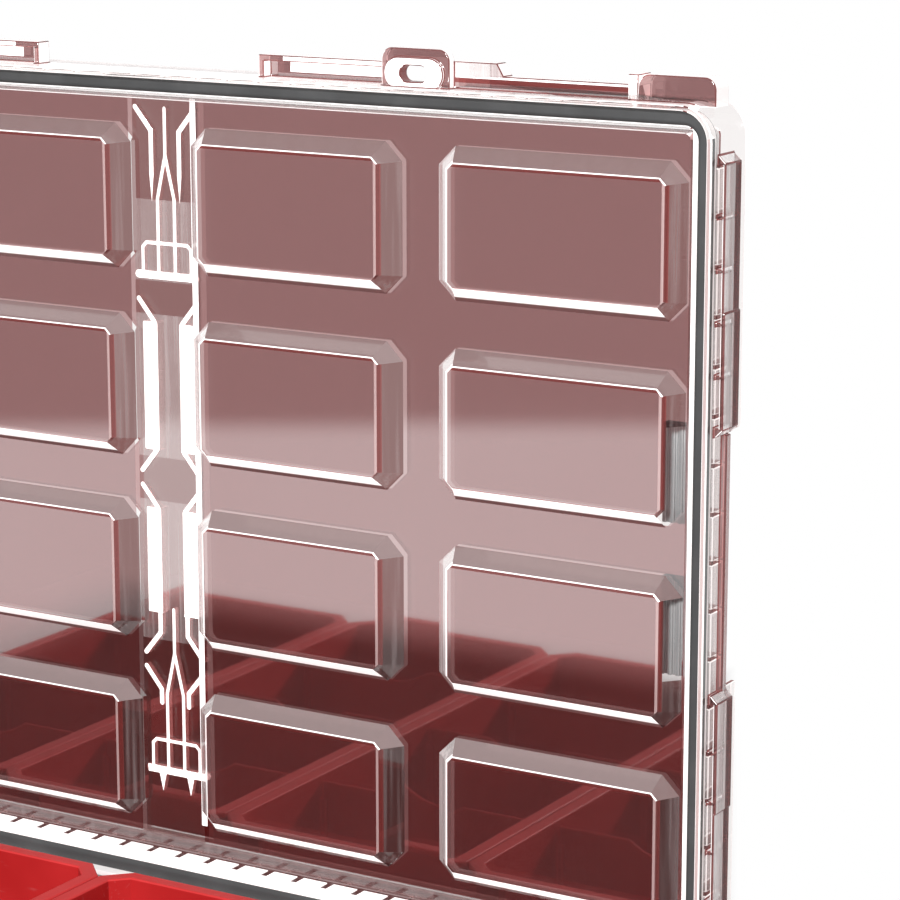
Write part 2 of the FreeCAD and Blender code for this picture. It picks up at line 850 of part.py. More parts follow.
def lid_knuckle():
    """Right-hand knuckle of the lid on the hinge axis, and its bore."""
    low = hinge_centre - knuckle_length / 2
    high = hinge_centre + knuckle_length / 2
    barrel = x_cylinder(knuckle_radius, low, high, hinge_y, hinge_z)
    leaf = box(low, high, lid_y, hinge_y + knuckle_radius, hinge_z, hinge_z + knuckle_height)
    bore = x_cylinder(hinge_pin_radius + pin_clearance, low - overrun, high + overrun, hinge_y, hinge_z)
    return barrel.fuse(leaf).removeSplitter(), bore


def make_lid():
    """Clear lid, drawn closed: panel with pads, skirt, gasket groove, ribbed rim with side recesses, ears."""
    rim = frame_ring(0, lid_out, outer_low, lid_top)
    panel = frame_block(skirt_wall / 2, panel_low, panel_top)
    pads, hollows = lid_pads()
    ears, ear_pockets = side_ears()
    front, front_hollows = front_edge()
    knuckle, bore = lid_knuckle()
    side_catch = box(
        lid_x - outer_wall / 2,
        lid_x + side_catch_reach,
        -recess_half,
        recess_half,
        skirt_low + side_catch_low,
        side_catch_top,
    )
    solids = [panel] + pads + lid_spine() + both_sides(ears + front + [knuckle, side_catch])
    body = rim.fuse(solids)
    cuts = hollows + channel_pockets() + both_sides(ear_pockets + front_hollows + [bore])
    recess = box(
        skirt_x + gasket_in,
        lid_x + overrun,
        -recess_half,
        recess_half,
        panel_low + recess_lift,
        lid_top + overrun,
    )
    cuts += both_sides([recess])
    cuts.append(frame_block(gasket_in, outer_low - overrun, skirt_low))
    cuts.append(frame_ring(gasket_in, gasket_out, outer_low - overrun, groove_top))
    return body.cut(cuts).removeSplitter()


def make_cleat():
    """Right-hand stacking cleat, drawn closed: a bar along the rim with two grooved pads."""
    bar_low = skirt_x - cleat_bar_in
    pad_low = skirt_x - cleat_pad_in
    underside = panel_top + cleat_pad_lift
    pad_top = underside + cleat_pad_height
    bar = box(
        bar_low,
        skirt_x - cleat_bar_out,
        -cleat_half,
        cleat_half,
        panel_top,
        panel_top + cleat_bar_height,
    )
    pads = [
        box(pad_low, bar_low, cleat_pad_near, cleat_half, underside, pad_top),
        box(pad_low, bar_low, -cleat_half, -cleat_pad_near, underside, pad_top),
    ]
    grooves = []
    for index in range(cleat_groove_count):
        low = pad_low + (index + 1) * cleat_groove_pitch - cleat_groove
        high = low + cleat_groove
        end = cleat_half + overrun
        grooves.append(box(low, high, -end, end, underside - overrun, underside + cleat_groove_depth))
    return bar.fuse([pad.cut(grooves) for pad in pads]).removeSplitter()


def make_gasket():
    """Seal in the lid's groove, drawn closed, rounded towards the tray."""
    low = base_height + seal_gap
    ring = frame_ring(gasket_in + gasket_side_gap, gasket_out - gasket_side_gap, low, groove_top)
    return ring.makeFillet(gasket_round, edges_at(ring, low))


def make_handle():
    """Carry handle, hanging: two arms with pin eyes and the bar between them."""
    grip_z = handle_grip_axis
    arms = []
    for low in (-handle_half, handle_half - handle_arm_width):
        high = low + handle_arm_width
        arms.append(x_cylinder(handle_arm_half, low, high, -handle_y, handle_z))
        arms.append(x_cylinder(handle_arm_half, low, high, -handle_y, grip_z))
        arms.append(box(low, high, -handle_y - handle_arm_half, -handle_y + handle_arm_half, grip_z, handle_z))
    bar = x_cylinder(handle_bar_radius, -handle_half, handle_half, -handle_y, grip_z)
    body = bar.fuse(arms).removeSplitter()
    reach = handle_half + overrun
    return body.cut(x_cylinder(handle_pin_radius + pin_clearance, -reach, reach, -handle_y, handle_z))


def make_grip():
    """Soft sleeve on the handle's bar."""
    half = handle_half - handle_arm_width - grip_end_gap
    sleeve = x_cylinder(grip_radius, -half, half, -handle_y, handle_grip_axis)
    sleeve = sleeve.makeFillet(grip_round, sleeve.Edges)
    bar_radius = handle_bar_radius + pin_clearance
    return sleeve.cut(x_cylinder(bar_radius, -half - overrun, half + overrun, -handle_y, handle_grip_axis))


def make_handle_pin():
    """Right-hand handle pin with its head outside the ear."""
    low = handle_half - handle_arm_width
    high = latch_x - latch_ear_near
    shank = x_cylinder(handle_pin_radius, low, high, -handle_y, handle_z)
    head = x_cylinder(handle_pin_head, high, high + handle_pin_head_thickness, -handle_y, handle_z)
    return shank.fuse(head).removeSplitter()


def make_hinge_pin():
    """Right-hand hinge pin, as long as its ears and knuckle together."""
    half = knuckle_length / 2 + hinge_side_gap + hinge_ear_length
    return x_cylinder(hinge_pin_radius, hinge_centre - half, hinge_centre + half, hinge_y, hinge_z)


def latch_pin(width):
    """Latch pin on the local axis, flush with the ears' outer faces."""
    half = width / 2 + latch_side_gap + latch_ear
    return x_cylinder(latch_pin_radius, -half, half, 0, 0)


def make_nodes():
    """Every piece of the case by name, in the open rest pose."""
    nodes = {"base_tray": make_base()}
    bin_names = ("outer_left", "inner_left", "inner_right", "outer_right")
    divider_names = ("front", "middle", "rear")
    bin_shape = make_bin()
    divider_shape = make_divider()
    for index, bin_name in enumerate(bin_names):
        middle = (index - (column_count - 1) / 2) * bin_pitch
        nodes["bin_" + bin_name] = bin_shape.translated(Vector(middle, 0, 0))
        for place, divider_name in zip(divider_places(), divider_names):
            node = "divider_" + bin_name + "_" + divider_name
            nodes[node] = divider_shape.translated(Vector(middle, place, 0))
    nodes["clear_lid"] = turned(make_lid(), hinge_y, hinge_z, -lid_open_angle)
    nodes["lid_gasket"] = turned(make_gasket(), hinge_y, hinge_z, -lid_open_angle)
    nodes["carry_handle"] = make_handle()
    nodes["handle_grip"] = make_grip()
    front_latch = make_latch(latch_width, catch_top + latch_lift - latch_z, latch_gap + hook_cover)
    side_height = side_catch_top + latch_lift - latch_z
    side_latch = make_latch(side_latch_width, side_height, side_latch_gap + side_hook_cover)
    right = {
        "lid_cleat": turned(make_cleat(), hinge_y, hinge_z, -lid_open_angle),
        "hinge_pin": make_hinge_pin(),
        "handle_pin": make_handle_pin(),
        "front_latch": front_place(turned(front_latch, 0, 0, latch_open_angle)),
        "front_latch_pin": front_place(latch_pin(latch_width)),
        "side_latch": side_place(turned(side_latch, 0, 0, latch_open_angle)),
        "side_latch_pin": side_place(latch_pin(side_latch_width)),
    }
    for name, shape in right.items():
        nodes[name + "_right"] = shape
        nodes[name + "_left"] = mirrored(shape)
    return nodes


for node_name, node_shape in make_nodes().items():
    solids = node_shape.Solids
    print(node_name, len(solids), "solid", round(node_shape.Volume), "mm3", node_shape.isValid())
    node_shape.exportStep("parts/" + node_name + ".step")
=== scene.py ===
"""Looks of the compartment organizer: finishes, softened mouldings, studio and camera on its frame."""

import logging
import math
from dataclasses import dataclass, field
from enum import IntEnum
from typing import Any, Callable, Optional, Sequence, Union

import bmesh
import bpy
from mathutils import Euler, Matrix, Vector


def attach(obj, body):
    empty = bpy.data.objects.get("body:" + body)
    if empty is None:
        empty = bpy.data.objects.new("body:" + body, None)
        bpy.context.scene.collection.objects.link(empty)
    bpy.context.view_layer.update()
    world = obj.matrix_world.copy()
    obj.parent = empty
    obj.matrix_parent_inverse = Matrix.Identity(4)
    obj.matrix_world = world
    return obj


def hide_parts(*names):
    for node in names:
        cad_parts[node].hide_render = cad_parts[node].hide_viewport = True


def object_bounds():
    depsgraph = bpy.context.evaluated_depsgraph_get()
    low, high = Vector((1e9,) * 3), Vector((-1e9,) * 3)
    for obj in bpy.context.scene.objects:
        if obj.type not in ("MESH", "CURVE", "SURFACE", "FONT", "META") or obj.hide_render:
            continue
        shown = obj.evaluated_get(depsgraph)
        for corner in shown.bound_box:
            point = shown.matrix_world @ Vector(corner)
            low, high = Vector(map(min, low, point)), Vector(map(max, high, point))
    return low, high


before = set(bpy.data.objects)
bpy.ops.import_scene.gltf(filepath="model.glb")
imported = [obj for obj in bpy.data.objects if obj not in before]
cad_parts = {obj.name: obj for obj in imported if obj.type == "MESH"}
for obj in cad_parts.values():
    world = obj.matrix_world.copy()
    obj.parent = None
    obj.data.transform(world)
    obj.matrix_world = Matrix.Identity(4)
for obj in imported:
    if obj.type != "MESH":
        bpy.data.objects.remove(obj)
CAD_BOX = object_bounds()

LOG = logging.getLogger("organizer")
MM = 0.001
NOISE_MIDDLE = 0.5
WHITE = (1.0, 1.0, 1.0)
COLUMNS = ("outer_left", "inner_left", "inner_right", "outer_right")
DIVIDERS = ("front", "middle", "rear")
SIDES = ("right", "left")

Span = tuple[float, float]
Triple = tuple[float, float, float]
Colour = Triple
Feed = Union["Signal", float, Sequence[float]]
Where = Callable[[Vector], bool]


class Signal:
    """One output of a shader node, which can stand in a sum or a product."""

    def __init__(self, graph: "Graph", socket: bpy.types.NodeSocket) -> None:
        """Keep the socket and the graph that new nodes go into."""
        self.graph = graph
        self.socket = socket

    def _maths(self, operation: str, first: Feed, second: Feed) -> "Signal":
        """Add one Math node.

        Args:
            operation: the Math node's operation.
            first: left-hand value.
            second: right-hand value.

        Returns:
            The node's output.
        """
        return self.graph.make("ShaderNodeMath", {"operation": operation}, {0: first, 1: second})

    def __add__(self, other: Feed) -> "Signal":
        """Sum."""
        return self._maths("ADD", self, other)

    def __radd__(self, other: Feed) -> "Signal":
        """Sum, with the number first."""
        return self._maths("ADD", other, self)

    def __sub__(self, other: Feed) -> "Signal":
        """Difference."""
        return self._maths("SUBTRACT", self, other)

    def __rsub__(self, other: Feed) -> "Signal":
        """Difference, with the number first."""
        return self._maths("SUBTRACT", other, self)

    def __mul__(self, other: Feed) -> "Signal":
        """Product."""
        return self._maths("MULTIPLY", self, other)

    def __rmul__(self, other: Feed) -> "Signal":
        """Product, with the number first."""
        return self._maths("MULTIPLY", other, self)

    def larger(self, other: Feed) -> "Signal":
        """The larger of two values."""
        return self._maths("MAXIMUM", self, other)


class Graph:
    """A node tree that is filled node by node."""

    def __init__(self, tree: bpy.types.NodeTree) -> None:
        """Start from an empty tree."""
        self.tree = tree
        tree.nodes.clear()

    def make(self, kind: str, settings: Optional[dict[str, Any]] = None,
             feeds: Optional[dict[Union[str, int], Feed]] = None,
             output: Union[str, int] = 0) -> Signal:
        """Add a node, set it up and link it.

        Args:
            kind: the node's type.
            settings: properties, set first.
            feeds: values or signals by socket name or number.
            output: the output to return, by name or number.

        Returns:
            The chosen output, or the first input of a node that ends the tree.
        """
        node = self.tree.nodes.new(kind)
        for key, value in (settings or {}).items():
            setattr(node, key, value)
        for key, value in (feeds or {}).items():
            socket = node.inputs[key]
            if isinstance(value, Signal):
                self.tree.links.new(value.socket, socket)
            else:
                socket.default_value = self._fitted(socket, value)
        if len(node.outputs) == 0:
            return Signal(self, node.inputs[0])
        return Signal(self, node.outputs[output])

    @staticmethod
    def _fitted(socket: bpy.types.NodeSocket, value: Any) -> Any:
        """A colour with its alpha, where the socket wants one."""
        if socket.type == "RGBA" and len(value) == 3:
            return (*value, 1.0)
        return value

    def place(self) -> Signal:
        """Position on the piece, in metres."""
        return self.make("ShaderNodeTexCoord", output="Object")

    def noise(self, place: Signal, scale: float, detail: float = 2.0, rough: float = 0.5) -> Signal:
        """Soft noise.

        Args:
            place: where it is read.
            scale: bumps per metre.
            detail: octaves.
            rough: weight of the fine octaves.

        Returns:
            A value about 0.5.
        """
        feeds = {"Vector": place, "Scale": scale, "Detail": detail, "Roughness": rough}
        return self.make("ShaderNodeTexNoise", None, feeds, "Fac")

    def drawn_noise(self, place: Signal, scales: Triple, rough: float = 0.5) -> Signal:
        """Noise drawn out along the axes, with its bumps per metre along each."""
        drawn = self.make("ShaderNodeMapping", None, {"Vector": place, "Scale": scales})
        return self.noise(drawn, 1.0, rough=rough)

    def ramp(self, value: Signal, low: float, high: float) -> Signal:
        """A smooth step of value from low to high, as 0 to 1."""
        return self.make("ShaderNodeMapRange", {"interpolation_type": "SMOOTHSTEP"},
                         {"Value": value, "From Min": low, "From Max": high})

    def blend(self, share: Feed, first: Feed, second: Feed) -> Signal:
        """Mix of two colours."""
        return self.make("ShaderNodeMix", {"data_type": "RGBA"}, {0: share, 6: first, 7: second}, 2)

    def bump(self, height: Signal, strength: float, depth: float) -> Signal:
        """Normal of a fine relief, depth in metres."""
        feeds = {"Height": height, "Strength": strength, "Distance": depth}
        return self.make("ShaderNodeBump", None, feeds, "Normal")

    def axis(self, place: Signal, letter: str) -> Signal:
        """One coordinate of a place, by its letter."""
        return self.make("ShaderNodeSeparateXYZ", None, {0: place}, letter)

    def mix_shaders(self, share: Feed, first: Signal, second: Signal) -> Signal:
        """Mix of two shaders."""
        return self.make("ShaderNodeMixShader", None, {0: share, 1: first, 2: second})

    def surface(self, shader: Signal, kind: str = "ShaderNodeOutputMaterial") -> None:
        """End the tree in this shader."""
        self.make(kind, None, {"Surface": shader})


def new_graph(name: str) -> tuple[bpy.types.Material, Graph]:
    """A new material and the graph of its nodes."""
    material = bpy.data.materials.new(name)
    material.use_nodes = True
    return material, Graph(material.node_tree)


@dataclass(frozen=True)
class MouldedPlastic:
    """Opaque moulded plastic with a fine spark-eroded grain, slow colour drift and hairline scuffs."""

    name: str
    colour: Colour
    roughness: float = 0.4
    grain_scale: float = 1400.0
    grain_depth: float = 0.06 * MM
    grain_strength: float = 0.35
    grain_rough: float = 0.1
    drift: float = 0.1
    drift_scale: float = 22.0
    drift_span: Span = (0.3, 0.7)
    drift_rough: float = 0.05
    drift_lift: float = 0.004
    scuff: float = 0.12
    scuff_scales: Triple = (60.0, 900.0, 420.0)
    scuff_span: Span = (0.62, 0.74)
    scuff_rough: float = 0.15
    scuff_white: float = 0.25
    coat: float = 0.06
    coat_roughness: float = 0.25
    shine: float = 0.35

    def material(self) -> bpy.types.Material:
        """Build the finish.

        Returns:
            The material.
        """
        material, graph = new_graph(self.name)
        place = graph.place()
        grain = graph.noise(place, self.grain_scale, detail=3.0, rough=0.6)
        slow = graph.ramp(graph.noise(place, self.drift_scale, detail=3.0), *self.drift_span)
        scratches = graph.ramp(graph.drawn_noise(place, self.scuff_scales, rough=0.7), *self.scuff_span)
        scuffs = scratches * self.scuff
        dark = tuple(c * (1.0 - self.drift) for c in self.colour)
        pale = tuple(min(1.0, c * (1.0 + self.drift) + self.drift_lift) for c in self.colour)
        worn = tuple(c + (1.0 - c) * self.scuff_white for c in pale)
        colour = graph.blend(scuffs, graph.blend(slow, dark, pale), worn)
        rough = self.roughness + self.grain_rough * (grain - NOISE_MIDDLE)
        rough = rough + self.scuff_rough * scuffs + self.drift_rough * (slow - NOISE_MIDDLE)
        shader = graph.make("ShaderNodeBsdfPrincipled", None, {
            "Base Color": colour,
            "Roughness": rough,
            "Specular IOR Level": self.shine,
            "Coat Weight": self.coat,
            "Coat Roughness": self.coat_roughness,
            "Normal": graph.bump(grain, self.grain_strength, self.grain_depth),
        })
        graph.surface(shader)
        return material


@dataclass(frozen=True)
class Rubber:
    """Dull elastomer with a fine bloom."""

    name: str
    colour: Colour
    roughness: float = 0.62
    grain_scale: float = 2200.0
    grain_depth: float = 0.05 * MM
    grain_strength: float = 0.3
    grain_rough: float = 0.15
    bloom_scale: float = 55.0
    bloom_span: Span = (0.35, 0.8)
    bloom_gain: float = 1.3
    bloom_lift: float = 0.01

    def material(self) -> bpy.types.Material:
        """Build the finish.

        Returns:
            The material.
        """
        material, graph = new_graph(self.name)
        place = graph.place()
        grain = graph.noise(place, self.grain_scale, detail=3.0, rough=0.65)
        bloom = graph.ramp(graph.noise(place, self.bloom_scale, detail=4.0), *self.bloom_span)
        pale = tuple(c * self.bloom_gain + self.bloom_lift for c in self.colour)
        shader = graph.make("ShaderNodeBsdfPrincipled", None, {
            "Base Color": graph.blend(bloom, self.colour, pale),
            "Roughness": self.roughness + self.grain_rough * (grain - NOISE_MIDDLE),
            "Normal": graph.bump(grain, self.grain_strength, self.grain_depth),
        })
        graph.surface(shader)
        return material


@dataclass(frozen=True)
class TurnedSteel:
    """Bright steel with fine turning lines round the pin."""

    name: str
    colour: Colour = (0.62, 0.62, 0.64)
    roughness: float = 0.28
    line_scales: Triple = (4200.0, 300.0, 300.0)
    line_depth: float = 0.04 * MM
    line_strength: float = 0.2
    line_rough: float = 0.18
    stain_scale: float = 160.0
    stain_span: Span = (0.45, 0.8)
    stain_share: float = 0.8
    stain_rough: float = 0.1

    def material(self) -> bpy.types.Material:
        """Build the finish.

        Returns:
            The material.
        """
        material, graph = new_graph(self.name)
        place = graph.place()
        turned = graph.drawn_noise(place, self.line_scales)
        stain = graph.ramp(graph.noise(place, self.stain_scale, detail=3.0), *self.stain_span)
        dull = tuple(c * self.stain_share for c in self.colour)
        rough = self.roughness + self.line_rough * (turned - NOISE_MIDDLE) + self.stain_rough * stain
        shader = graph.make("ShaderNodeBsdfPrincipled", None, {
            "Base Color": graph.blend(stain, self.colour, dull),
            "Metallic": 1.0,
            "Roughness": rough,
            "Normal": graph.bump(turned, self.line_strength, self.line_depth),
        })
        graph.surface(shader)
        return material


@dataclass(frozen=True)
class ClearPlastic:
    """Tinted clear moulding: part of the light goes through and part is mirrored, and an opaque layer over
    it paints highlights, glow, shade lines and reflections.
    """

    name: str
    tint: Colour
    mirror: float
    painted_layer: float = 0.0
    painted_layer_colour: Colour = (0.95, 0.92, 0.91)
    painted_layer_drift: float = 0.92
    painted_layer_grain: float = 0.1
    painted_layer_roughness: float = 0.12
    painted_layer_coat: float = 0.5
    painted_glow: float = 0.0
    gloss_colour: Colour = (0.92, 0.99, 0.99)
    gloss_rough: float = 0.02
    roughness: float = 0.02
    flow: float = 0.03
    flow_scale: float = 14.0
    fine_scale: float = 320.0
    fine_rough: float = 0.1
    foot_from: float = 0.0
    foot_span: Span = (-0.3 * MM, 0.5 * MM)
    foot_shade_colour: Colour = (0.16, 0.03, 0.028)
    foot_share: float = 0.95
    foot_roughness: float = 0.1
    streak: float = 0.0
    streak_scales: Triple = (420.0, 420.0, 14.0)
    streak_span: Span = (0.42, 0.72)
    streak_colours: tuple[Colour, Colour] = ((0.72, 0.64, 0.64), (0.62, 0.54, 0.54))
    streak_roughness: float = 0.3

    def material(self) -> bpy.types.Material:
        """Build the finish.

        Returns:
            The material.
        """
        material, graph = new_graph(self.name)
        place = graph.place()
        flow = graph.noise(place, self.flow_scale)
        fine = graph.noise(place, self.fine_scale, detail=3.0)
        through = graph.make("ShaderNodeBsdfTransparent", None, {"Color": self.tint})
        gloss = graph.make("ShaderNodeBsdfPrincipled", None, {
            "Base Color": self.gloss_colour,
            "Metallic": 1.0,
            "Roughness": self.roughness + self.gloss_rough * fine,
        })
        shader = graph.mix_shaders(self.mirror + self.flow * (flow - NOISE_MIDDLE), through, gloss)
        # Painted reflection: pale streaks drawn out along the height, standing in for glassy streaks of
        # reflected light.
        if self.streak > 0.0:
            veil = graph.ramp(graph.drawn_noise(place, self.streak_scales, rough=0.6), *self.streak_span)
            pale = graph.make("ShaderNodeBsdfPrincipled", None, {
                "Base Color": graph.blend(fine, *self.streak_colours),
                "Roughness": self.streak_roughness,
            })
            shader = graph.mix_shaders(self.streak * veil, shader, pale)
        # Painted light: an opaque layer, glowing where its emission strength is set, paints highlights, dark
        # shade lines and reflections over the clear plastic.
        if self.painted_layer > 0.0:
            duller = tuple(c * self.painted_layer_drift for c in self.painted_layer_colour)
            body = graph.make("ShaderNodeBsdfPrincipled", None, {
                "Base Color": graph.blend(fine, self.painted_layer_colour, duller),
                "Roughness": self.painted_layer_roughness + self.fine_rough * fine,
                "Coat Weight": self.painted_layer_coat,
                "Emission Color": self.painted_layer_colour,
                "Emission Strength": self.painted_glow,
            })
            shader = graph.mix_shaders(self.painted_layer + self.painted_layer_grain * (fine - NOISE_MIDDLE), shader, body)
        # Painted shade: a dark line along the foot of a bevel, from a given depth on.
        if self.foot_from > 0.0:
            start, end = (self.foot_from + step for step in self.foot_span)
            foot = graph.ramp(graph.axis(place, "Y"), start, end)
            line = graph.make("ShaderNodeBsdfPrincipled", None, {
                "Base Color": self.foot_shade_colour,
                "Roughness": self.foot_roughness + self.fine_rough * fine,
            })
            shader = graph.mix_shaders(self.foot_share * foot, shader, line)
        graph.surface(shader)
        return material


RED_BIN = MouldedPlastic("bin_red_satin", (0.425, 0.0145, 0.0155), roughness=0.55, coat=0.0, shine=0.06)
# Lighter copy for rounded edges and rim tops: a painted highlight.
RED_BIN_HIGHLIGHT = MouldedPlastic("bin_red_edge_highlight", (0.58, 0.036, 0.037), roughness=0.42, drift=0.06,
                              coat=0.0, shine=0.1)
RED_DIVIDER = MouldedPlastic("divider_red_satin", (0.41, 0.0135, 0.0145), roughness=0.55, coat=0.0,
                             shine=0.06)
RED_TRAY = MouldedPlastic("tray_red_grained", (0.41, 0.02, 0.022), roughness=0.5, grain_scale=900.0,
                          grain_depth=0.12 * MM)
# Lighter copy for the tray's rounded edges: a painted highlight.
RED_TRAY_HIGHLIGHT = MouldedPlastic("tray_red_edge_highlight", (0.49, 0.04, 0.042), roughness=0.4, grain_scale=900.0)
CHARCOAL = MouldedPlastic("charcoal_grained", (0.045, 0.045, 0.049), roughness=0.48, grain_scale=1000.0,
                          grain_depth=0.1 * MM, drift=0.18)
# Lighter copy for rounded edges: a painted highlight.
CHARCOAL_HIGHLIGHT = MouldedPlastic("charcoal_edge_highlight", (0.1, 0.1, 0.105), roughness=0.36, drift=0.1)
GREY = MouldedPlastic("grey_satin", (0.28, 0.31, 0.32), roughness=0.42)
# Lighter copy for rounded edges: a painted highlight.
GREY_HIGHLIGHT = MouldedPlastic("grey_edge_highlight", (0.4, 0.43, 0.44), roughness=0.34)
GASKET = Rubber("gasket_rubber_grey", (0.038, 0.039, 0.04), roughness=0.68)
GRIP = Rubber("grip_rubber_black", (0.022, 0.022, 0.024))
STEEL = TurnedSteel("pin_steel_turned")


class Zone(IntEnum):
    """Kinds of lid surface, by the light and shade painted on them; the number is the material slot."""

    PANEL = 0
    UPPER = 1
    SIDE = 2
    BRIGHT = 3
    LOWER = 4
    LINE = 5
    RIM_EDGE = 6
    WINDOW = 7
    CHANNEL = 8
    PALE = 9
    FROST = 10
    EAR = 11
    SHADE = 12
    BAND = 13
    VEIL = 14
    SEAL = 15


# Each zone paints its faces with light and shade by where they sit and which way they face: glowing
# highlights, dark shade lines, lit and shaded bevels and painted reflections over the clear plastic.
LID_FINISHES: dict[Zone, ClearPlastic] = {
    Zone.PANEL: ClearPlastic("lid_clear_panel", (0.619, 0.391, 0.388), 0.235),
    # Painted light: a pinkish opaque layer on upward bevels, standing in for the sky they mirror.
    Zone.UPPER: ClearPlastic("lid_clear_upper_bevel", (0.12, 0.07, 0.07), 0.1, painted_layer=0.5,
                             painted_layer_colour=(0.4, 0.275, 0.27)),
    # Painted shade: the remaining bevels, mostly facing right, take a darker tint.
    Zone.SIDE: ClearPlastic("lid_clear_side_bevel", (0.27, 0.135, 0.13), 0.06, streak=0.12),
    # Painted highlight: an opaque white layer that glows, for edges and bevels that catch the light.
    Zone.BRIGHT: ClearPlastic("lid_clear_bright_edge", (0.98, 0.96, 0.955), 0.08, painted_layer=0.9, painted_glow=0.8),
    # Painted highlight: glowing white lower bevels, with a painted shade line at their foot.
    Zone.LOWER: ClearPlastic("lid_clear_lower_bevel", (0.98, 0.96, 0.955), 0.08, painted_layer=0.9, painted_glow=0.9,
                             foot_from=168.9 * MM),
    # Painted shade: dark red lines along edges and in slots.
    Zone.LINE: ClearPlastic("lid_clear_dark_line", (0.36, 0.09, 0.085), 0.05, painted_layer=0.5,
                            painted_layer_colour=(0.2, 0.045, 0.042)),
    # Painted highlight: glowing white on rounded rim edges and the front edge's walls.
    Zone.RIM_EDGE: ClearPlastic("lid_clear_rim_edge", (0.98, 0.96, 0.955), 0.15, painted_layer=0.7, painted_glow=0.7),
    Zone.WINDOW: ClearPlastic("lid_clear_window", (0.98, 0.96, 0.955), 0.05),
    # Deeper tint: painted shade on the left walls of the spine's hollows, and the tint of its back flats.
    Zone.CHANNEL: ClearPlastic("lid_clear_channel", (0.33, 0.14, 0.135), 0.25),
    # Painted highlight: pale pinkish lines along edges.
    Zone.PALE: ClearPlastic("lid_clear_pale_line", (0.9, 0.8, 0.79), 0.1, painted_layer=0.55,
                            painted_layer_colour=(0.62, 0.45, 0.44)),
    # Painted light: a pale glowing layer with painted reflection streaks, on walls and bevels seen through
    # the panel.
    Zone.FROST: ClearPlastic("lid_clear_glow_wall", (0.9, 0.86, 0.86), 0.08, painted_layer=0.25, painted_glow=0.2,
                             streak=0.6),
    Zone.EAR: ClearPlastic("lid_clear_ear", (0.34, 0.16, 0.155), 0.06, streak=0.15),
    Zone.SHADE: ClearPlastic("lid_clear_rib_shade", (0.95, 0.92, 0.92), 0.1, painted_layer=0.7, painted_glow=0.35,
                             painted_layer_colour=(0.85, 0.8, 0.8)),
    Zone.BAND: ClearPlastic("lid_clear_skirt_band", (0.5, 0.33, 0.32), 0.1, painted_layer=0.3,
                            painted_layer_colour=(0.2, 0.1, 0.1), streak=0.12),
    Zone.VEIL: ClearPlastic("lid_clear_spine_veil", (0.45, 0.28, 0.275), 0.25, painted_layer=0.08, streak=0.25),
    # Painted reflection: a dark grey line on the rim's sides where the seal shows in the clear rim.
    Zone.SEAL: ClearPlastic("lid_clear_seal_line", (0.25, 0.25, 0.25), 0.05, painted_layer=0.85,
                            painted_layer_colour=(0.045, 0.046, 0.047)),
}


def add_object(name: str, mesh: bpy.types.Mesh) -> bpy.types.Object:
    """A new object in the scene holding this mesh."""
    piece = bpy.data.objects.new(name, mesh)
    bpy.context.scene.collection.objects.link(piece)
    return piece


def from_shell(name: str, shell: bmesh.types.BMesh) -> bpy.types.Object:
    """A new object of this name from a finished shell, which is freed."""
    mesh = bpy.data.meshes.new(name)
    shell.to_mesh(mesh)
    shell.free()
    return add_object(name, mesh)


def applied(piece: bpy.types.Object) -> None:
    """Turn the piece's modifiers into its mesh."""
    graph = bpy.context.evaluated_depsgraph_get()
    mesh = bpy.data.meshes.new_from_object(piece.evaluated_get(graph))
    piece.modifiers.clear()
    piece.data = mesh


@dataclass(frozen=True)
class Cut:
    """A plane across one axis that divides some of a piece's faces."""

    axis: int
    place: float
    takes: Where
    gap: float = 0.002 * MM

    def divide(self, shell: bmesh.types.BMesh) -> None:
        """Divide the faces that the cut takes, by their middles."""
        faces = [face for face in shell.faces if self.takes(face.calc_center_median())]
        edges = {edge for face in faces for edge in face.edges}
        verts = {vert for face in faces for vert in face.verts}
        direction = Vector((0.0, 0.0, 0.0))
        direction[self.axis] = 1.0
        bmesh.ops.bisect_plane(shell, geom=[*verts, *edges, *faces], dist=self.gap,
                               plane_co=direction * self.place, plane_no=direction)


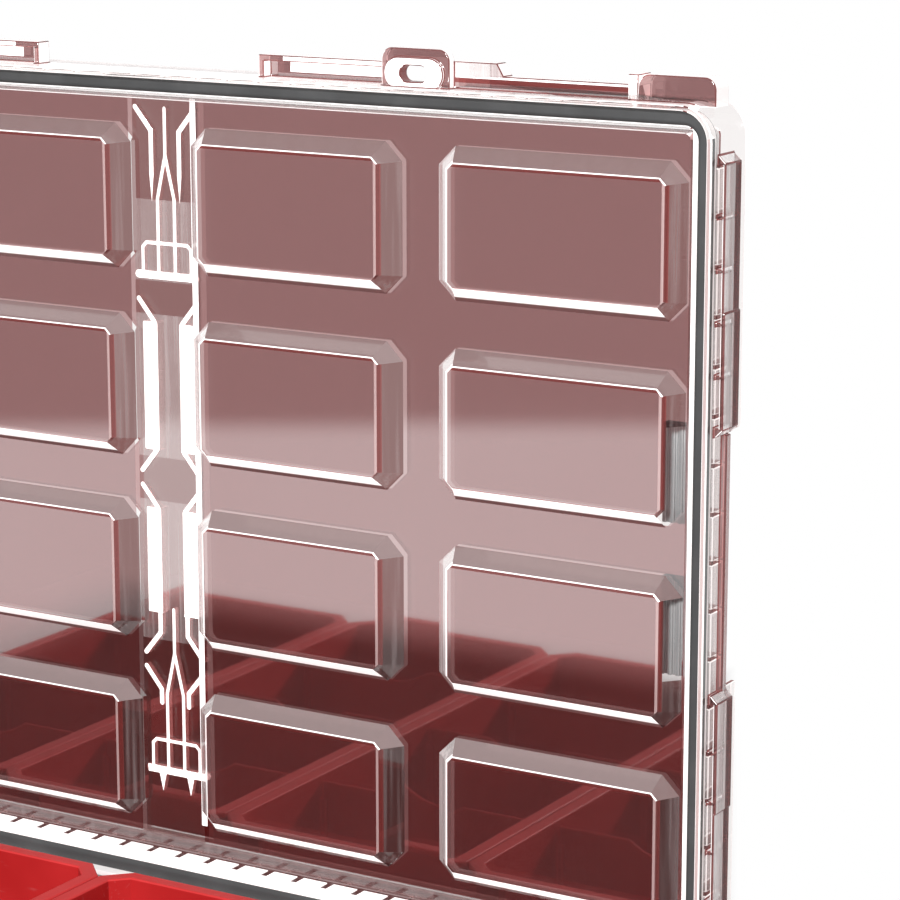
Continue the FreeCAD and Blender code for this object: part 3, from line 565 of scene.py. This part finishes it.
@dataclass
class Softener:
    """Makes a moulding from a CAD node: the same shape with rounded edges."""

    radius: float = 0.4 * MM
    segments: int = 2
    crease_degrees: float = 28.0
    merge_gap: float = 0.005 * MM
    flat_degrees: float = 0.6
    edge_slot: int = 1

    def make(self, node: str, name: str, keep: Optional[Where] = None,
             cuts: Sequence[Cut] = ()) -> bpy.types.Object:
        """Copy a node's mesh and round its edges.

        Args:
            node: the CAD node.
            name: the new piece's name.
            keep: tells, by an edge's middle, which edges stay as they are.
            cuts: planes that divide its faces.

        Returns:
            The new piece, with its rounded strips in the edge slot.
        """
        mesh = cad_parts[node].data.copy()
        mesh.materials.clear()
        shell = bmesh.new()
        shell.from_mesh(mesh)
        bmesh.ops.remove_doubles(shell, verts=shell.verts, dist=self.merge_gap)
        bmesh.ops.dissolve_limit(shell, angle_limit=math.radians(self.flat_degrees),
                                 verts=shell.verts, edges=shell.edges)
        for cut in cuts:
            cut.divide(shell)
        bmesh.ops.connect_verts_concave(shell, faces=shell.faces)
        for face in shell.faces:
            face.smooth = False
            face.material_index = 0
        weight = shell.edges.layers.float.new("bevel_weight_edge")
        for edge in shell.edges:
            sharp = edge.is_manifold and edge.calc_face_angle() > math.radians(self.crease_degrees)
            middle = (edge.verts[0].co + edge.verts[1].co) / 2
            edge[weight] = 1.0 if sharp and not (keep and keep(middle)) else 0.0
        shell.to_mesh(mesh)
        shell.free()
        for _ in range(self.edge_slot + 1):
            mesh.materials.append(None)
        piece = add_object(name, mesh)
        bevel = piece.modifiers.new("rounding", "BEVEL")
        bevel.width = self.radius
        bevel.segments = self.segments
        bevel.limit_method = "WEIGHT"
        bevel.use_clamp_overlap = False
        bevel.loop_slide = False
        bevel.material = self.edge_slot
        applied(piece)
        for face in piece.data.polygons:
            face.use_smooth = face.material_index == self.edge_slot
        return piece

    def dress(self, node: str, body: str, slot: str, finish: Sequence[bpy.types.Material],
              name: str = "") -> None:
        """Make a node's moulding, paint it and put it on its body.

        Args:
            node: the CAD node.
            body: the body it rides on.
            slot: the record's material slot; not used.
            finish: the materials of its faces and of its edges; the edge one is a lighter copy, a painted
                highlight.
            name: the piece's name, where it isn't the node's own with a prefix.
        """
        piece = self.make(node, name or f"moulded_{node}")
        paint(piece, *finish)
        place_piece(piece, body, node)


def place_piece(piece: bpy.types.Object, body: str, node: str) -> None:
    """Put a moulding on its body in place of its CAD node.

    Args:
        piece: the moulding.
        body: the body it rides on.
        node: the CAD node it stands for.
    """
    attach(piece, body)
    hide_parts(node)
    LOG.info("%s rides on %s for %s", piece.name, body, node)


def paint(piece: bpy.types.Object, *materials: bpy.types.Material) -> None:
    """Give a piece these materials, slot by slot."""
    slots = piece.data.materials
    for index, material in enumerate(materials):
        if index < len(slots):
            slots[index] = material
        else:
            slots.append(material)


def dress_node(node: str, material: bpy.types.Material) -> None:
    """Give a CAD node that stays in view its finish."""
    paint(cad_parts[node], material)
    LOG.info("%s stays, in %s", node, material.name)


@dataclass
class Lid:
    """Clear lid: zones of the moulding by the light and shade painted on them, its seal, its comb and its
    cleats.
    """

    skirt_x: float = 212.2 * MM
    skirt_low: float = 64.7 * MM
    skirt_high: float = 341.1 * MM
    skirt_front: float = 159.6 * MM
    lid_x: float = 221.6 * MM
    rim_high: float = 350.5 * MM
    pad_face: float = 164.9 * MM
    pad_round: float = 0.75 * MM
    pad_rows: tuple[float, ...] = (304.9 * MM, 236.9 * MM, 168.9 * MM, 100.9 * MM)
    pad_half: float = 20.7 * MM
    pad_right_edges: tuple[float, ...] = (-120.4 * MM, -19.7 * MM, 92.6 * MM, 200.6 * MM)
    edge_line: float = 1.0 * MM
    bevel_line: float = 1.2 * MM
    top_line: float = 0.4 * MM
    land_line: float = 213.3 * MM
    strip_low: float = 76.0 * MM
    panel_front: float = 171.1 * MM
    panel_back: float = 173.6 * MM
    band_height: float = 4.6 * MM
    spine_half: float = 13.9 * MM
    spine_edge: Span = (12.7 * MM, 15.1 * MM)
    veils: tuple[Span, ...] = (
        (275.0 * MM, 304.0 * MM),
        (211.0 * MM, 263.0 * MM),
        (143.0 * MM, 195.0 * MM),
    )
    seal_line: Span = (155.7 * MM, 157.5 * MM)
    ear_reach: float = 2.6 * MM
    ear_split: float = 166.5 * MM
    rail_x: Span = (134.0 * MM, 190.0 * MM)
    rail_lines: Span = (354.2 * MM, 352.6 * MM)
    middle: float = 202.9 * MM
    cleat_half: float = 42.5 * MM
    catch_x: Span = (48.0 * MM, 97.0 * MM)
    catch_end: float = 57.0 * MM
    catch_foot: float = 352.4 * MM
    slot_half: Span = (5.4 * MM, 2.9 * MM)
    block_x: Span = (124.0 * MM, 134.0 * MM)
    post_x: Span = (189.4 * MM, 193.1 * MM)
    slot_place: Span = (111.0 * MM, 355.0 * MM)
    collar: float = 11.5 * MM
    collar_front: float = 159.2 * MM
    comb_pitch: float = 12.7 * MM
    comb_tooth: float = 9.8 * MM
    comb_root: float = 163.4 * MM
    comb_tip: float = 168.8 * MM
    comb_proud: float = 0.35 * MM
    comb_lap: float = 0.3 * MM
    comb_end_gap: float = 6.0 * MM
    touch: float = 0.1 * MM
    inner_line: float = 0.4 * MM
    flat_share: float = 0.93
    slope_share: float = 0.3
    softener: Softener = field(default_factory=lambda: Softener(radius=0.35 * MM))

    def within(self, place: Vector) -> bool:
        """Whether a point lies inside the skirt, seen from the front."""
        return abs(place.x) < self.skirt_x and self.skirt_low < place.z < self.skirt_high

    def in_pads(self, place: Vector) -> bool:
        """Whether a point lies among the raised pads, whose edges are rounded already."""
        return self.within(place) and place.y < self.panel_back + self.pad_round

    def on_pad_face(self, place: Vector) -> bool:
        """Whether a point lies on the flat face of a pad."""
        return self.in_pads(place) and abs(place.y - self.pad_face) < self.touch

    def on_panel(self, place: Vector) -> bool:
        """Whether a point lies on the flat front of the panel."""
        return self.in_pads(place) and abs(place.y - self.panel_front) < self.touch

    def on_spine(self, place: Vector) -> bool:
        """Whether a point lies on the flats of the panel along the spine."""
        deep = place.y > self.panel_front - self.touch
        return deep and self.within(place) and abs(place.x) < self.spine_half

    def on_strip(self, place: Vector) -> bool:
        """Whether a point lies on the bright strip along the spine's right side."""
        return self.spine_edge[0] < place.x < self.spine_edge[1] and place.z > self.strip_low

    def on_land(self, place: Vector) -> bool:
        """Whether a point lies on the front land of the skirt."""
        return abs(place.y - self.skirt_front) < self.touch

    def on_rail(self, place: Vector) -> bool:
        """Whether a point lies on the rail of the front edge."""
        return place.z > self.rim_high and self.rail_x[0] < abs(place.x) < self.rail_x[1]

    def on_catch(self, place: Vector) -> bool:
        """Whether a point lies on the catches of the front edge."""
        return place.z > self.rim_high and self.catch_x[0] < abs(place.x) < self.catch_x[1]

    def in_slot(self, place: Vector) -> bool:
        """Whether a point lies on the walls of a padlock slot."""
        aside = abs(abs(place.x) - self.slot_place[0])
        return aside < self.slot_half[0] and abs(place.z - self.slot_place[1]) < self.slot_half[1]

    def on_rim_side(self, place: Vector) -> bool:
        """Whether a point lies on the outer sides of the rim."""
        return abs(abs(place.x) - self.lid_x) < self.touch

    def on_ear_side(self, place: Vector) -> bool:
        """Whether a point lies on the outer sides of the ears."""
        return abs(place.x) > self.lid_x + self.ear_reach

    def on_bevel(self, place: Vector) -> bool:
        """Whether a point lies on the front of a pad's bevels."""
        return self.in_pads(place) and self.pad_face < place.y < self.panel_front - self.touch

    def cuts(self) -> list[Cut]:
        """Planes that divide the moulding's faces where the look changes.

        Returns:
            The cuts, in order.
        """
        planes = [Cut(0, side * self.spine_half, self.within) for side in (-1.0, 1.0)]
        planes += [Cut(1, self.pad_face + line, self.on_bevel) for line in (self.bevel_line, self.top_line)]
        planes += [Cut(0, side * self.land_line, self.on_land) for side in (-1.0, 1.0)]
        planes.append(Cut(2, self.strip_low, self.on_panel))
        planes += [Cut(0, edge - self.edge_line, self.on_pad_face) for edge in self.pad_right_edges]
        planes += [Cut(2, row + self.pad_half - self.edge_line, self.on_pad_face) for row in self.pad_rows]
        planes += [Cut(2, self.middle + side * self.cleat_half, self.on_bevel) for side in (-1.0, 1.0)]
        planes.append(Cut(2, self.skirt_low + self.band_height, self.within))
        planes += [Cut(0, edge, self.on_panel) for edge in self.spine_edge]
        planes += [Cut(2, end, self.on_spine) for veil in self.veils for end in veil]
        planes += [Cut(1, depth, self.on_rim_side) for depth in self.seal_line]
        planes.append(Cut(1, self.ear_split, self.on_ear_side))
        planes += [Cut(2, height, self.on_rail) for height in self.rail_lines]
        planes += [Cut(0, side * self.catch_end, self.on_catch) for side in (-1.0, 1.0)]
        planes.append(Cut(2, self.catch_foot, self.on_catch))
        return planes

    def pad_zone(self, centre: Vector, normal: Vector) -> Zone:
        """Kind of surface of one face among the pads.

        Args:
            centre: the face's middle, at rest.
            normal: its direction, at rest.

        Returns:
            The zone.
        """
        # Flat faces stay clear panel, save painted marks: a darker band at the foot, a glowing strip beside
        # the spine, a dark shade line under each pad's top and a pale highlight line by its right edge.
        if abs(normal.y) > self.flat_share:
            if self.on_panel(centre) and centre.z < self.skirt_low + self.band_height:
                return Zone.BAND
            if self.on_panel(centre) and self.on_strip(centre):
                return Zone.BRIGHT
            if not self.on_pad_face(centre):
                return Zone.PANEL
            tops = (row + self.pad_half for row in self.pad_rows)
            if any(top - self.edge_line < centre.z < top for top in tops):
                return Zone.LINE
            near_right = any(edge - self.edge_line < centre.x < edge for edge in self.pad_right_edges)
            return Zone.PALE if near_right else Zone.PANEL
        # Bevels are painted by which way they face: back faces stay clear; left-facing ones glow white,
        # lower ones glow white over a shaded foot, upper ones take a lit pinkish layer under a glowing top
        # line, and the rest are darker as shade, with a dark line by the pad's face.
        if normal.y > 0.0:
            return Zone.WINDOW
        if normal.x < -self.slope_share:
            return Zone.BRIGHT if centre.y < self.pad_face + self.bevel_line else Zone.FROST
        if normal.z < -self.slope_share and normal.x < self.slope_share:
            return Zone.LOWER
        if normal.z > self.slope_share:
            return Zone.BRIGHT if centre.y < self.pad_face + self.top_line else Zone.UPPER
        if centre.y < self.pad_face + self.bevel_line and normal.z > -self.slope_share:
            return Zone.LINE
        beside_rim = abs(centre.x) > self.pad_right_edges[-1]
        over_cleat = beside_rim and abs(centre.z - self.middle) < self.cleat_half
        return Zone.WINDOW if over_cleat else Zone.SIDE

    def spine_zone(self, centre: Vector, normal: Vector) -> Optional[Zone]:
        """Kind of surface of one face of the spine.

        Args:
            centre: the face's middle, at rest.
            normal: its direction, at rest.

        Returns:
            The zone, or nothing where the face belongs to the pads.
        """
        # Painted light on the spine: its ribs glow white with a paler shaded side, a glowing strip runs
        # along its right edge, and the left walls of its hollows take a deeper tint as shade.
        if centre.y > self.panel_back + self.touch:
            return Zone.SHADE if normal.x > self.slope_share else Zone.BRIGHT
        low = centre.z < self.skirt_low + self.band_height
        hollow_side = self.slope_share < normal.y < self.flat_share
        if hollow_side and centre.x < 0.0 and not low:
            return Zone.CHANNEL
        if low or abs(normal.y) < self.flat_share or not self.on_spine(centre):
            return None
        if normal.y < 0.0:
            return Zone.BRIGHT if self.on_strip(centre) else Zone.WINDOW
        veiled = any(first < centre.z < last for first, last in self.veils)
        return Zone.VEIL if veiled else Zone.CHANNEL

    def front_zone(self, centre: Vector, normal: Vector) -> Zone:
        """Kind of surface of one face of the catches and tabs along the front edge.

        Args:
            centre: the face's middle, at rest.
            normal: its direction, at rest.

        Returns:
            The zone.
        """
        # Painted light along the front edge: glowing highlights on edges, the rail's top line, posts,
        # catches and collars, dark shade lines in the slots and under the rail's top, glowing walls on the
        # blocks.
        if abs(normal.y) < self.flat_share:
            return Zone.LINE if self.in_slot(centre) else Zone.RIM_EDGE
        if self.on_rail(centre) and normal.y < 0.0 and centre.z > self.rail_lines[1]:
            return Zone.BRIGHT if centre.z > self.rail_lines[0] else Zone.LINE
        if self.block_x[0] < abs(centre.x) < self.block_x[1]:
            return Zone.FROST
        if self.post_x[0] < abs(centre.x) < self.post_x[1]:
            return Zone.BRIGHT
        in_catch = self.on_catch(centre) and centre.z > self.catch_foot and abs(centre.x) > self.catch_end
        aside = abs(centre.x) - self.slot_place[0]
        on_collar = abs(aside) < self.collar and centre.y < self.collar_front
        if normal.y < 0.0 and (in_catch or on_collar):
            return Zone.BRIGHT
        return Zone.PANEL

    def rim_zone(self, centre: Vector, normal: Vector) -> Zone:
        """Kind of surface of one face of the ribbed rim and its ears.

        Args:
            centre: the face's middle, at rest.
            normal: its direction, at rest.

        Returns:
            The zone.
        """
        # Painted light on the rim and ears: glowing highlights on front faces and edges, pale lines, glowing
        # walls, and a dark grey line on the sides where the seal shows.
        flat = abs(normal.y) > self.flat_share
        aside = abs(centre.x) > self.skirt_x - self.touch
        if abs(centre.x) > self.lid_x - self.touch:
            if self.on_rim_side(centre):
                dark = self.seal_line[0] < centre.y < self.seal_line[1]
                return Zone.SEAL if dark else Zone.WINDOW
            glassy = not self.on_ear_side(centre) or centre.y < self.ear_split
            return Zone.FROST if glassy and not flat else Zone.EAR
        if flat and normal.y < 0.0:
            if centre.z > self.skirt_high:
                return Zone.WINDOW
            if self.on_land(centre) and aside and abs(centre.x) < self.land_line:
                return Zone.PANEL
            if centre.y > self.skirt_front - self.touch or centre.z < self.skirt_low:
                return Zone.BRIGHT
            return Zone.PALE
        if flat:
            return Zone.FROST if centre.y < self.panel_front else Zone.WINDOW
        if centre.z > self.skirt_high and aside:
            return Zone.RIM_EDGE if centre.y < self.pad_face else Zone.WINDOW
        across = abs(normal.x) if aside else abs(normal.z)
        on_rear_wall = abs(centre.z - self.skirt_low) < self.touch and normal.z > self.slope_share
        if across < self.slope_share or on_rear_wall:
            return Zone.EAR
        return Zone.FROST if centre.y > self.skirt_front else Zone.RIM_EDGE

    def zone(self, centre: Vector, normal: Vector, rounded: bool) -> Zone:
        """Kind of surface of one face.

        Args:
            centre: the face's middle, at rest.
            normal: its direction, at rest.
            rounded: whether it is a strip of a rounded edge.

        Returns:
            The zone.
        """
        if self.within(centre):
            if abs(centre.x) < self.spine_half:
                found = self.spine_zone(centre, normal)
                if found is not None:
                    return found
            if self.in_pads(centre):
                return self.pad_zone(centre, normal)
        # Rounded strips are painted too: a dark shade line on the inner ones and on outer ones facing away,
        # a glowing highlight on the rest.
        if rounded:
            outside = abs(centre.x) > self.lid_x or centre.z > self.rim_high
            away = normal.x > self.slope_share or abs(normal.z) > self.slope_share
            inner = abs(abs(centre.x) - self.skirt_x) < self.inner_line
            return Zone.LINE if inner or (outside and away) else Zone.RIM_EDGE
        if centre.z > self.rim_high:
            return self.front_zone(centre, normal)
        return self.rim_zone(centre, normal)

    def build(self) -> None:
        """Make the lid's moulding, comb and cleats, and dress its seal."""
        piece = self.softener.make("clear_lid", "lid_moulding", self.in_pads, self.cuts())
        for face in piece.data.polygons:
            rounded = face.material_index == self.softener.edge_slot
            face.material_index = self.zone(face.center, face.normal, rounded)
        paint(piece, *(LID_FINISHES[zone].material() for zone in Zone))
        place_piece(piece, "lid", "clear_lid")
        # The comb takes the glowing white finish: a painted highlight.
        self.build_comb(piece.data.materials[Zone.BRIGHT])
        dress_node("lid_gasket", GASKET.material())
        grey = (GREY.material(), GREY_HIGHLIGHT.material())
        for side in SIDES:
            self.softener.dress(f"lid_cleat_{side}", "lid", "latch_grey", grey)

    def build_comb(self, finish: bpy.types.Material) -> None:
        """Make a thin comb of teeth on the rear skirt in this finish, a painted highlight standing in for
        the light that the rim's ribs catch.
        """
        count = int((self.skirt_x - self.comb_end_gap) / self.comb_pitch)
        base = self.skirt_front + self.comb_lap
        half = self.comb_tooth / 2
        reach = count * self.comb_pitch + half
        line = [(-reach, base), (reach, base)]
        for index in range(count, -count - 1, -1):
            middle = index * self.comb_pitch
            right = middle + half
            left = middle - half
            line += [(right, self.comb_root), (right, self.comb_tip)]
            line += [(left, self.comb_tip), (left, self.comb_root)]
        shell = bmesh.new()
        corners = [shell.verts.new((x, y, self.skirt_low)) for x, y in line]
        face = shell.faces.new(corners)
        raised = bmesh.ops.extrude_face_region(shell, geom=[face])
        tops = [item for item in raised["geom"] if isinstance(item, bmesh.types.BMVert)]
        bmesh.ops.translate(shell, verts=tops, vec=(0.0, 0.0, self.comb_proud))
        bmesh.ops.recalc_face_normals(shell, faces=shell.faces)
        comb = from_shell("lid_rim_comb", shell)
        paint(comb, finish)
        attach(comb, "lid")
        LOG.info("%s rides on lid", comb.name)


@dataclass
class Bins:
    """Four lift-out bins and their dividers."""

    rim_level: float = 68.0 * MM
    rim_slope: float = 0.3
    softener: Softener = field(
        default_factory=lambda: Softener(radius=0.5 * MM, segments=3, crease_degrees=50.0))

    def on_rim(self, place: Vector) -> bool:
        """Whether a point lies on a bin's rolled rim, which is rounded already."""
        return place.z > self.rim_level

    def build(self) -> None:
        """Make every bin and divider."""
        bin_finish = (RED_BIN.material(), RED_BIN_HIGHLIGHT.material())
        divider_finish = (RED_DIVIDER.material(), RED_BIN_HIGHLIGHT.material())
        for column in COLUMNS:
            node = f"bin_{column}"
            piece = self.softener.make(node, f"moulded_{node}", self.on_rim)
            for face in piece.data.polygons:
                # Painted highlight: the rims' upward faces take the lighter edge finish.
                if self.on_rim(face.center) and face.normal.z > self.rim_slope:
                    face.material_index = self.softener.edge_slot
            paint(piece, *bin_finish)
            place_piece(piece, node, node)
            for row in DIVIDERS:
                node = f"divider_{column}_{row}"
                self.softener.dress(node, node, "divider_red", divider_finish)


@dataclass
class Tray:
    """Base tray with its hinge, latch and handle pins."""

    softener: Softener = field(default_factory=lambda: Softener(radius=0.5 * MM))
    pins: tuple[str, ...] = ("hinge_pin", "handle_pin", "front_latch_pin", "side_latch_pin")

    def build(self) -> None:
        """Make the tray and dress the pins in it."""
        finish = (RED_TRAY.material(), RED_TRAY_HIGHLIGHT.material())
        self.softener.dress("base_tray", "base", "tray_red", finish, "moulded_tray")
        steel = STEEL.material()
        for pin in self.pins:
            for side in SIDES:
                dress_node(f"{pin}_{side}", steel)


@dataclass
class Latches:
    """Two front latches and two side latches."""

    softener: Softener = field(default_factory=lambda: Softener(radius=0.45 * MM))

    def build(self) -> None:
        """Make the four latches."""
        finishes = {
            "front": ("latch_charcoal", (CHARCOAL.material(), CHARCOAL_HIGHLIGHT.material())),
            "side": ("latch_grey", (GREY.material(), GREY_HIGHLIGHT.material())),
        }
        for kind, (slot, finish) in finishes.items():
            for side in SIDES:
                node = f"{kind}_latch_{side}"
                self.softener.dress(node, node, slot, finish)


@dataclass
class Handle:
    """Carry handle with its soft sleeve."""

    softener: Softener = field(default_factory=lambda: Softener(radius=0.5 * MM))

    def build(self) -> None:
        """Make the handle and dress its sleeve."""
        finish = (CHARCOAL.material(), CHARCOAL_HIGHLIGHT.material())
        self.softener.dress("carry_handle", "handle", "handle_charcoal", finish, "moulded_handle")
        dress_node("handle_grip", GRIP.material())


@dataclass
class Studio:
    """Pale floor, soft light and the camera at the photograph's angle."""

    camera_place: Vector = field(default_factory=lambda: Vector((0.6453, -0.7143, 0.4521)))
    camera_turn_degrees: float = 30.78
    camera_dip_degrees: float = 12.28
    lens: float = 125.0
    sensor: float = 36.0
    view_reach: float = 50.0
    floor_half: float = 7.0
    floor_drop: float = 0.2 * MM
    floor_colour: Colour = (0.93, 0.93, 0.93)
    floor_roughness: float = 0.8
    floor_shine: float = 0.1
    shadow_slant: Span = (0.904, 0.436)
    shadow_right: Span = (0.262, 0.284)
    shadow_left: Span = (-0.33, -0.43)
    shadow_end: Span = (0.62, 0.7)
    rear_edge: Span = (-0.1, 0.4)
    front_edge: Span = (-0.18, -0.3)
    far_edge: Span = (16.0, 22.0)
    mat_ahead: Span = (0.88, 0.98)
    mat_beside: Span = (0.9, 0.4)
    mat_shift: float = 0.1
    world_level: float = 0.2
    key_power: float = 470.0
    key_turn_degrees: float = 18.0
    key_rise_degrees: float = 27.0
    key_distance: float = 3.0
    key_cone_degrees: float = 32.0
    key_blend: float = 0.5
    key_size: float = 0.25
    key_target: Vector = field(default_factory=lambda: Vector((0.0, 0.05, 0.1)))
    light_bounces: int = 16
    clear_bounces: int = 40
    mirror_bounces: int = 8

    def build(self) -> None:
        """Set the whole studio."""
        self.set_camera()
        self.set_floor()
        self.set_world()
        self.set_lamp()
        scene = bpy.context.scene
        scene.view_settings.view_transform = "Standard"
        scene.cycles.transparent_max_bounces = self.clear_bounces
        scene.cycles.max_bounces = self.light_bounces
        scene.cycles.glossy_bounces = self.mirror_bounces

    def set_camera(self) -> None:
        """Camera at the photograph's place, turn and lens."""
        data = bpy.data.cameras.new("photo_camera")
        data.lens = self.lens
        data.sensor_width = self.sensor
        data.clip_end = self.view_reach
        camera = bpy.data.objects.new("photo_camera", data)
        camera.location = self.camera_place
        camera.rotation_euler = Euler((math.radians(90.0 - self.camera_dip_degrees), 0.0,
                                       math.radians(self.camera_turn_degrees)))
        bpy.context.scene.collection.objects.link(camera)
        bpy.context.scene.camera = camera

    def white_rays(self, graph: Graph) -> Signal:
        """1 for the rays that see the backdrop: camera, mirrored and transmitted ones."""
        kinds = ("Is Camera Ray", "Is Glossy Ray", "Is Transmission Ray")
        seen = [graph.make("ShaderNodeLightPath", None, None, kind) for kind in kinds]
        return seen[0].larger(seen[1]).larger(seen[2])

    def white_floor(self, graph: Graph) -> Signal:
        """Which parts of the floor are white backdrop, by their fixed places on it.

        Args:
            graph: the floor's graph.

        Returns:
            1 on the backdrop, 0 on the mat ahead and where the object's shadow falls.
        """
        place = graph.make("ShaderNodeNewGeometry", None, None, "Position")
        across = graph.axis(place, "X")
        along = graph.axis(place, "Y")
        slant = across * self.shadow_slant[0] + along * self.shadow_slant[1]
        beside_shadow = graph.ramp(slant, *self.shadow_right).larger(graph.ramp(across, *self.shadow_left))
        shadow_free = beside_shadow.larger(graph.ramp(along, *self.shadow_end))
        rear = graph.ramp(along, *self.rear_edge)
        view = math.radians(self.camera_turn_degrees)
        ahead = across * -math.sin(view) - along * math.cos(view)
        beside = across * math.cos(view) - along * math.sin(view) + self.mat_shift
        mat = graph.ramp(ahead, *self.mat_ahead) * graph.ramp(beside * beside, *self.mat_beside)
        front = graph.ramp(along, *self.front_edge) * (1.0 - mat)
        far = graph.ramp(across * across + along * along, *self.far_edge)
        return (rear * shadow_free).larger(front).larger(far)

    def set_floor(self) -> None:
        """White floor with a darker mat ahead, which keeps the object's shadow near it."""
        shell = bmesh.new()
        bmesh.ops.create_grid(shell, x_segments=2, y_segments=2, size=self.floor_half)
        floor = from_shell("studio_floor", shell)
        floor.location.z = CAD_BOX[0].z - self.floor_drop
        material, graph = new_graph("studio_floor_pale")
        matte = graph.make("ShaderNodeBsdfPrincipled", None, {
            "Base Color": self.floor_colour,
            "Roughness": self.floor_roughness,
            "Specular IOR Level": self.floor_shine,
        })
        white = graph.make("ShaderNodeEmission", None, {"Color": WHITE, "Strength": 1.0})
        share = self.white_rays(graph) * self.white_floor(graph)
        graph.surface(graph.mix_shaders(share, matte, white))
        paint(floor, material)

    def set_world(self) -> None:
        """Dim even light, white where it is seen."""
        world = bpy.data.worlds.new("studio_world")
        world.use_nodes = True
        bpy.context.scene.world = world
        graph = Graph(world.node_tree)
        level = self.world_level + (1.0 - self.world_level) * self.white_rays(graph)
        light = graph.make("ShaderNodeBackground", None, {"Color": WHITE, "Strength": level})
        graph.surface(light, "ShaderNodeOutputWorld")

    def set_lamp(self) -> None:
        """Soft key lamp with a soft-edged pool of light."""
        turn = math.radians(self.key_turn_degrees)
        rise = math.radians(self.key_rise_degrees)
        level = math.cos(rise)
        towards = Vector((math.sin(turn) * level, -math.cos(turn) * level, math.sin(rise)))
        lamp = bpy.data.lights.new("key_lamp", "SPOT")
        lamp.energy = self.key_power
        lamp.spot_size = math.radians(self.key_cone_degrees)
        lamp.spot_blend = self.key_blend
        lamp.shadow_soft_size = self.key_size
        key = bpy.data.objects.new("key_lamp", lamp)
        key.location = self.key_target + towards * self.key_distance
        key.rotation_euler = (-towards).to_track_quat("-Z", "Y").to_euler()
        bpy.context.scene.collection.objects.link(key)


def main() -> None:
    """Build the organizer's pieces and the studio."""
    logging.basicConfig(level=logging.INFO, format="%(message)s")
    for part in (Lid(), Bins(), Tray(), Latches(), Handle(), Studio()):
        part.build()
        LOG.info("%s built", type(part).__name__)


if __name__ == "__main__":
    main()
